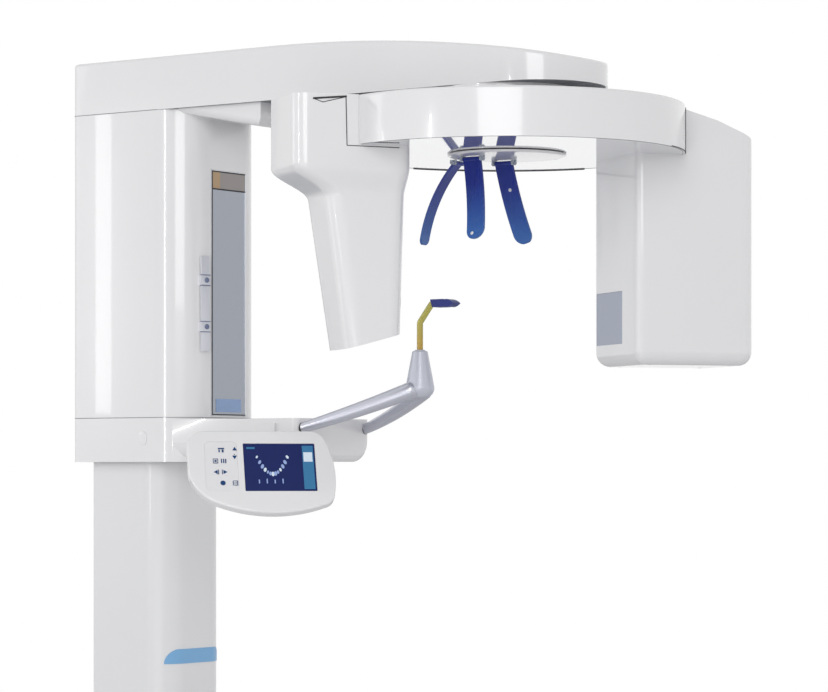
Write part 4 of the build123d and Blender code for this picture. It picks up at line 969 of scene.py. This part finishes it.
@dataclass
class Rest:
    """The grip bars, the collars that hold them, and the lip where the bite rod is held."""

    maker: MeshMaker
    shelf_front: float = 0.452
    handle_y: float = 0.104
    handle_z: float = 1.213
    grip_end: Point = (0.651, -0.024, 1.284)
    grip_bow: float = 0.005
    grip_sag: float = 0.7
    grip_slim: tuple[float, float] = (0.0095, 0.0100)
    grip_full: tuple[float, float] = (0.0135, 0.0165)
    grip_swell: float = 0.8
    grip_steps: int = 22
    grip_sides: int = 36
    grip_smooth: float = 50.0
    dome_steps: int = 5
    dome_step: float = 15.0
    dome_share: float = 0.9
    look_ahead: float = 0.01
    collar_profile: Profile = ((0.0080, 0.0), (0.0104, 0.0), (0.0104, 0.0010), (0.0098, 0.0016),
                               (0.0080, 0.0016))
    lip_profile: Profile = ((0.0062, 0.0), (0.0105, 0.0), (0.0100, 0.0016), (0.0072, 0.0020),
                            (0.0062, 0.0016))
    rod_x: float = 0.656
    rod_z: float = 1.360

    def grip_point(self, t: float, side: int) -> Vector:
        """A point on a grip bar's centre line.

        Args:
            t: 0 at the shelf and 1 at the rest.
            side: -1 for the near bar, 1 for the far bar.

        Returns:
            The point in the CAD frame.
        """
        x, y, z = self.grip_end
        bow = 4.0 * t * (1.0 - t) * self.grip_bow
        return Vector((self.shelf_front + (x - self.shelf_front) * t,
                       side * (self.handle_y + (-y - self.handle_y) * t + bow),
                       self.handle_z + (z - self.handle_z) * t - bow * self.grip_sag))

    def grip(self, side: int) -> bpy.types.Object:
        """A tapered oval bar with a domed end, slim at the shelf and full at the rest.

        Args:
            side: -1 for the near bar, 1 for the far bar.

        Returns:
            The new object.
        """
        shape = bmesh.new()
        rings = []
        sides = self.grip_sides
        stations = [(i / self.grip_steps, 1.0) for i in range(self.grip_steps + 1)]
        start = Vector((self.shelf_front, -self.handle_y, self.handle_z))
        reach = self.grip_full[0] * self.dome_share / (Vector(self.grip_end) - start).length
        for k in range(1, self.dome_steps + 1):
            turn = math.radians(self.dome_step * k)
            stations.append((1.0 + reach * math.sin(turn), math.cos(turn)))
        for t, shrink in stations:
            here = self.grip_point(t, side)
            ahead = (self.grip_point(t + self.look_ahead, side)
                     - self.grip_point(t - self.look_ahead, side)).normalized()
            across = ahead.cross(Vector((0, 0, 1))).normalized()
            up = across.cross(ahead)
            wide, tall = (slim + (full - slim) * min(1.0, t) ** self.grip_swell
                          for slim, full in zip(self.grip_slim, self.grip_full))
            rings.append([shape.verts.new(here + shrink * (wide * math.cos(a) * across
                                                           + tall * math.sin(a) * up))
                          for a in (math.tau * k / sides for k in range(sides))])
        for one, two in zip(rings, rings[1:]):
            for k in range(sides):
                nxt = (k + 1) % sides
                shape.faces.new((one[k], one[nxt], two[nxt], two[k]))
        shape.faces.new(rings[0])
        shape.faces.new(rings[-1])
        name, node = ("grip_near", "handle_left") if side < 0 else ("grip_far", "handle_right")
        made = self.maker.piece(name, self.maker.from_bmesh(name, shape), GRIP, "lift",
                                self.grip_smooth)
        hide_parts(node)
        return made

    def build(self) -> None:
        """Add both grip bars, a dark collar at each and a lip round the rod."""
        to_front = Matrix.Rotation(math.radians(90), 4, "Y")
        for where, side in SIDES:
            self.grip(side)
            place = Matrix.Translation((self.shelf_front, side * self.handle_y, self.handle_z)) @ to_front
            self.maker.turned(f"handle_collar_{where}", self.collar_profile, place, GASKET_AND_SHADOW, "lift")
        place = Matrix.Translation((self.rod_x, 0, self.rod_z))
        self.maker.turned("rod_lip", self.lip_profile, place, REST, "lift")


@dataclass
class ControlPanel:
    """What shows on the panel: the display's picture and the signs on its keys."""

    maker: MeshMaker
    centre: Point = (0.461, -0.245, 1.132)
    facing: float = -45.0
    tilt: float = 27.0
    screen_at: tuple[float, float] = (0.037, 0.006)
    screen_size: tuple[float, float] = (0.136, 0.100)
    picture_out: float = -0.00098
    layer: float = 0.0002
    bar_in: tuple[float, float] = (0.024, 0.003)
    bar_margin: float = 0.004
    block_in: tuple[float, float] = (0.022, 0.005)
    block_up: tuple[float, float] = (0.012, 0.032)
    label_in: tuple[float, float] = (0.006, 0.022)
    label_down: tuple[float, float] = (0.011, 0.007)
    teeth: int = 13
    tooth_size: float = 0.0019
    tooth_more: float = 0.0012
    tooth_tall: float = 1.6
    tooth_wave: float = 2.4
    arch: tuple[float, float] = (0.029, 0.036)
    arch_at: tuple[float, float] = (-0.014, -0.014)
    tooth_spread: float = 28.0
    tooth_sides: int = 10
    ticks: int = 4
    tick_in: float = 0.026
    tick_step: float = 0.015
    tick_wide: float = 0.0022
    tick_up: tuple[float, float] = (0.016, 0.024)
    tick_more: float = 0.002
    sign_out: float = 0.00022
    sign_thick: float = 0.00015
    keys: Profile = (
        (-0.0732, 0.0422), (-0.0475, 0.0444), (-0.0484, 0.0274), (-0.0849, 0.0189), (-0.0697, 0.0189),
        (-0.0851, -0.0044), (-0.0681, -0.0044), (-0.0731, -0.0275), (-0.0495, -0.0276))

    def place(self, across: float, up: float, out: float, spin: float = 0.0) -> Matrix:
        """The matrix for a sign at a spot on the panel's face.

        Args:
            across: metres right of the panel's middle.
            up: metres above it.
            out: metres in front of the face.
            spin: degrees turned in the face's plane.

        Returns:
            The matrix in the CAD frame.
        """
        face = (Matrix.Translation(self.centre) @ Matrix.Rotation(math.radians(self.facing + 90), 4, "Z")
                @ Matrix.Rotation(math.radians(90 - self.tilt), 4, "X"))
        return face @ Matrix.Translation((across, up, out)) @ Matrix.Rotation(math.radians(spin), 4, "Z")

    def patch(self, name: str, across: tuple[float, float], up: tuple[float, float], out: float,
              finish: Finish) -> None:
        """A flat rectangle on the panel.

        Args:
            name: the piece's name.
            across: its left and right edges, in the face's own metres.
            up: its lower and upper edges.
            out: metres in front of the face.
            finish: its surface.
        """
        (x0, x1), (y0, y1) = across, up
        outline = [(x0, y0), (x1, y0), (x1, y1), (x0, y1)]
        self.maker.plate(name, outline, self.layer, self.place(0, 0, out), finish, "panel")

    def build(self) -> None:
        """Add the display's picture and the key signs."""
        self.display()
        self.signs()

    def display(self) -> None:
        """A plain arch of tooth shapes, a side bar and a row of ticks, all generic."""
        x, y = self.screen_at
        left, right = x - self.screen_size[0] / 2, x + self.screen_size[0] / 2
        foot, head = y - self.screen_size[1] / 2, y + self.screen_size[1] / 2
        level = self.picture_out
        self.patch("display_bar", tuple(right - inset for inset in self.bar_in),
                   (foot + self.bar_margin, head - self.bar_margin), level, LIT_BLUE)
        self.patch("display_block", tuple(right - inset for inset in self.block_in),
                   tuple(y + rise for rise in self.block_up), level + self.layer, LIT_WHITE)
        self.patch("display_head", tuple(left + inset for inset in self.label_in),
                   tuple(head - drop for drop in self.label_down), level, LIT_BLUE)
        for i in range(self.teeth):
            self.tooth(i)
        for i in range(self.ticks):
            start = left + self.tick_in + self.tick_step * i
            tip = foot + self.tick_up[1] + self.tick_more * (i % 2)
            self.patch(f"display_tick_{i}", (start, start + self.tick_wide),
                       (foot + self.tick_up[0], tip), level, LIT_PALE)

    def tooth(self, i: int) -> None:
        """One tooth of the display's arch, leaning with its place and a little uneven in size.

        Args:
            i: its number, from the left.
        """
        middle = (self.teeth - 1) / 2
        along = (i - middle) / middle
        across = self.screen_at[0] + self.arch_at[0] + self.arch[0] * along
        up = self.screen_at[1] + self.arch_at[1] + self.arch[1] * along * along
        size = self.tooth_size + self.tooth_more * abs(math.sin(self.tooth_wave * i))
        outline = [(size * math.cos(a), self.tooth_tall * size * math.sin(a))
                   for a in (math.tau * k / self.tooth_sides for k in range(self.tooth_sides))]
        self.maker.plate(f"display_tooth_{i}", outline, self.layer,
                         self.place(across, up, self.picture_out, self.tooth_spread * along),
                         LIT_WHITE if i % 3 == 0 else LIT_PALE, "panel")

    def signs(self) -> None:
        """One plain sign on each key: framed squares, arrows, a ring and bars."""
        for i, ((across, up), shape) in enumerate(zip(self.keys, self.sign_shapes())):
            for j, (outline, spin) in enumerate(shape):
                self.maker.plate(f"key_sign_{i}_{j}", outline, self.sign_thick,
                                 self.place(across, up, self.sign_out, spin), INK, "panel")

    @staticmethod
    def sign_shapes() -> tuple[tuple[tuple[Outline, float], ...], ...]:
        """The outlines of each key's sign, each with the degrees that it is turned.

        Returns:
            For each key in order, its outlines and their turns.
        """
        def box(x0: float, y0: float, x1: float, y1: float) -> Outline:
            """A rectangle given in millimetres."""
            return [(x / 1000, y / 1000) for x, y in ((x0, y0), (x1, y0), (x1, y1), (x0, y1))]

        arrow = [(-0.0044, -0.0030), (0.0044, -0.0030), (0.0, 0.0046)]
        ring = [(0.0050 * math.cos(a), 0.0050 * math.sin(a))
                for a in (math.tau * k / 20 for k in range(20))]
        frame = tuple((box(*edge), 0.0) for edge in
                      ((-5, -5, -3.6, 5), (3.6, -5, 5, 5), (-3.5, -5, 3.5, -3.6), (-3.5, 3.6, 3.5, 5)))
        bars = tuple((box(-5 + 4 * k, -4.5, -2.8 + 4 * k, 4.5), 0.0) for k in range(3))
        return (
            ((box(-6, 1.8, 6, 4.4), 0.0), (box(-5, -5, -2.6, 1.0), 0.0), (box(1.2, -5, 4.6, 0.8), 0.0)),
            ((arrow, 0.0),),
            ((arrow, 180.0), (box(-1.0, 4.7, 1.0, 6.2), 0.0)),
            frame + ((box(-2, -2, 2, 2), 0.0),),
            bars,
            ((arrow, 90.0), (box(4.0, -5, 5.6, 5), 0.0)),
            ((arrow, -90.0), (box(-5.8, -5, -4.2, 5), 0.0)),
            ((ring, 0.0),),
            frame + ((box(-3.4, -0.7, 3.4, 0.7), 0.0),))


@dataclass(frozen=True)
class Lamp:
    """A soft box: where it stands, what it points at, its size, its watts, and if gloss shows it."""

    name: str
    at: Point
    aim: Point
    wide: float
    tall: float
    power: float
    mirrored: bool = True


LAMPS = (
    Lamp("key_lamp", (3.4, -4.6, 3.0), (0.5, 0.0, 1.4), 2.6, 2.6, 74.0),
    Lamp("left_strip", (-3.2, -2.6, 1.9), (0.1, 0.0, 1.3), 0.9, 3.2, 13.0),
    Lamp("right_fill", (4.2, 2.6, 2.4), (0.6, 0.0, 1.4), 3.6, 3.6, 32.0, mirrored=False),
    Lamp("low_fill", (1.8, -3.6, 0.25), (0.8, 0.0, 1.6), 2.4, 1.4, 14.0),
    Lamp("carriage_strip", (-2.409, -2.739, 1.775), (-0.02, -0.13, 1.775), 0.130, 0.93, 2.2),
    Lamp("corner_strip", (-0.30, -4.40, 1.7), (0.9, 0.2, 1.55), 0.10, 1.6, 14.0))


@dataclass
class Studio:
    """Plain light, a pale floor and the photograph's camera."""

    eye: Point = (4.1591, -5.0228, 1.130)
    yaw: float = 35.0
    lens: float = 139.13
    shift_up: float = 0.151
    sensor: float = 36.0
    world: float = 0.54
    world_colour: Colour = (0.985, 0.985, 1.0)
    floor_half: float = 7.0
    floor_colour: Colour = (0.80, 0.80, 0.805)
    floor_rough: float = 0.85
    floor_glow: float = 0.38

    def build(self) -> None:
        """Set the floor, the world, the lamps, the view and the camera."""
        bpy.context.scene.view_settings.view_transform = "Standard"
        self.floor()
        self.surround()
        for lamp in LAMPS:
            self.light(lamp)
        self.camera()

    def floor(self) -> None:
        """A wide pale floor at the unit's foot, a little brighter to the camera's own rays."""
        h = self.floor_half
        mesh = bpy.data.meshes.new("studio_floor")
        mesh.from_pydata([(-h, -h, 0), (h, -h, 0), (h, h, 0), (-h, h, 0)], [], [(0, 1, 2, 3)])
        floor = bpy.data.objects.new("studio_floor", mesh)
        bpy.context.scene.collection.objects.link(floor)
        material = bpy.data.materials.new("pale_floor")
        material.use_nodes = True
        tree = material.node_tree
        shader = tree.nodes["Principled BSDF"]
        shader.inputs["Base Color"].default_value = (*self.floor_colour, 1.0)
        shader.inputs["Roughness"].default_value = self.floor_rough
        shader.inputs["Emission Color"].default_value = (1.0, 1.0, 1.0, 1.0)
        rays = tree.nodes.new("ShaderNodeLightPath")
        glow = maths(tree, "MULTIPLY", self.floor_glow)
        tree.links.new(rays.outputs["Is Camera Ray"], glow.inputs[0])
        tree.links.new(glow.outputs[0], shader.inputs["Emission Strength"])
        mesh.materials.append(material)

    def surround(self) -> None:
        """A soft even surround, white where the camera, gloss or glass sees it."""
        world = bpy.data.worlds.new("studio_surround")
        bpy.context.scene.world = world
        world.use_nodes = True
        tree = world.node_tree
        link = tree.links.new
        back = tree.nodes["Background"]
        back.inputs["Color"].default_value = (*self.world_colour, 1.0)
        back.inputs["Strength"].default_value = self.world
        seen = tree.nodes.new("ShaderNodeBackground")
        seen.inputs["Color"].default_value = (1.0, 1.0, 1.0, 1.0)
        seen.inputs["Strength"].default_value = 1.0
        rays = tree.nodes.new("ShaderNodeLightPath")
        direct = maths(tree, "MAXIMUM")
        white = maths(tree, "MAXIMUM")
        mix = tree.nodes.new("ShaderNodeMixShader")
        link(rays.outputs["Is Camera Ray"], direct.inputs[0])
        link(rays.outputs["Is Transmission Ray"], direct.inputs[1])
        link(direct.outputs[0], white.inputs[0])
        link(rays.outputs["Is Glossy Ray"], white.inputs[1])
        link(white.outputs[0], mix.inputs["Fac"])
        link(back.outputs[0], mix.inputs[1])
        link(seen.outputs[0], mix.inputs[2])
        link(mix.outputs[0], tree.nodes["World Output"].inputs["Surface"])

    @staticmethod
    def light(lamp: Lamp) -> None:
        """Set up one soft box.

        Args:
            lamp: what it is and where it stands.
        """
        data = bpy.data.lights.new(lamp.name, "AREA")
        data.shape = "RECTANGLE"
        data.size = lamp.wide
        data.size_y = lamp.tall
        data.energy = lamp.power
        made = bpy.data.objects.new(lamp.name, data)
        made.location = lamp.at
        made.visible_glossy = lamp.mirrored
        made.rotation_euler = (Vector(lamp.aim) - Vector(lamp.at)).to_track_quat("-Z", "Y").to_euler()
        bpy.context.scene.collection.objects.link(made)

    def camera(self) -> None:
        """The level camera that took the photograph."""
        data = bpy.data.cameras.new("photo_camera")
        data.sensor_width = self.sensor
        data.lens = self.lens
        data.shift_y = self.shift_up
        camera = bpy.data.objects.new("photo_camera", data)
        camera.location = self.eye
        camera.rotation_euler = (math.radians(90), 0.0, math.radians(self.yaw))
        bpy.context.scene.collection.objects.link(camera)
        bpy.context.scene.camera = camera


def main() -> None:
    """Load the frame, dress it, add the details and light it."""
    logging.basicConfig(level=logging.INFO, format="%(name)s: %(message)s")
    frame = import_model()
    shop = PaintShop()
    maker = MeshMaker(shop)
    Nodes(shop, frame).dress()
    for part in (Column(maker), Mirror(maker), SideRail(maker), Gantry(maker), Rest(maker),
                 ControlPanel(maker)):
        part.build()
        LOG.info("%s built", type(part).__name__)
    Studio().build()
    LOG.info("%d added pieces", maker.count)


if __name__ == "__main__":
    main()
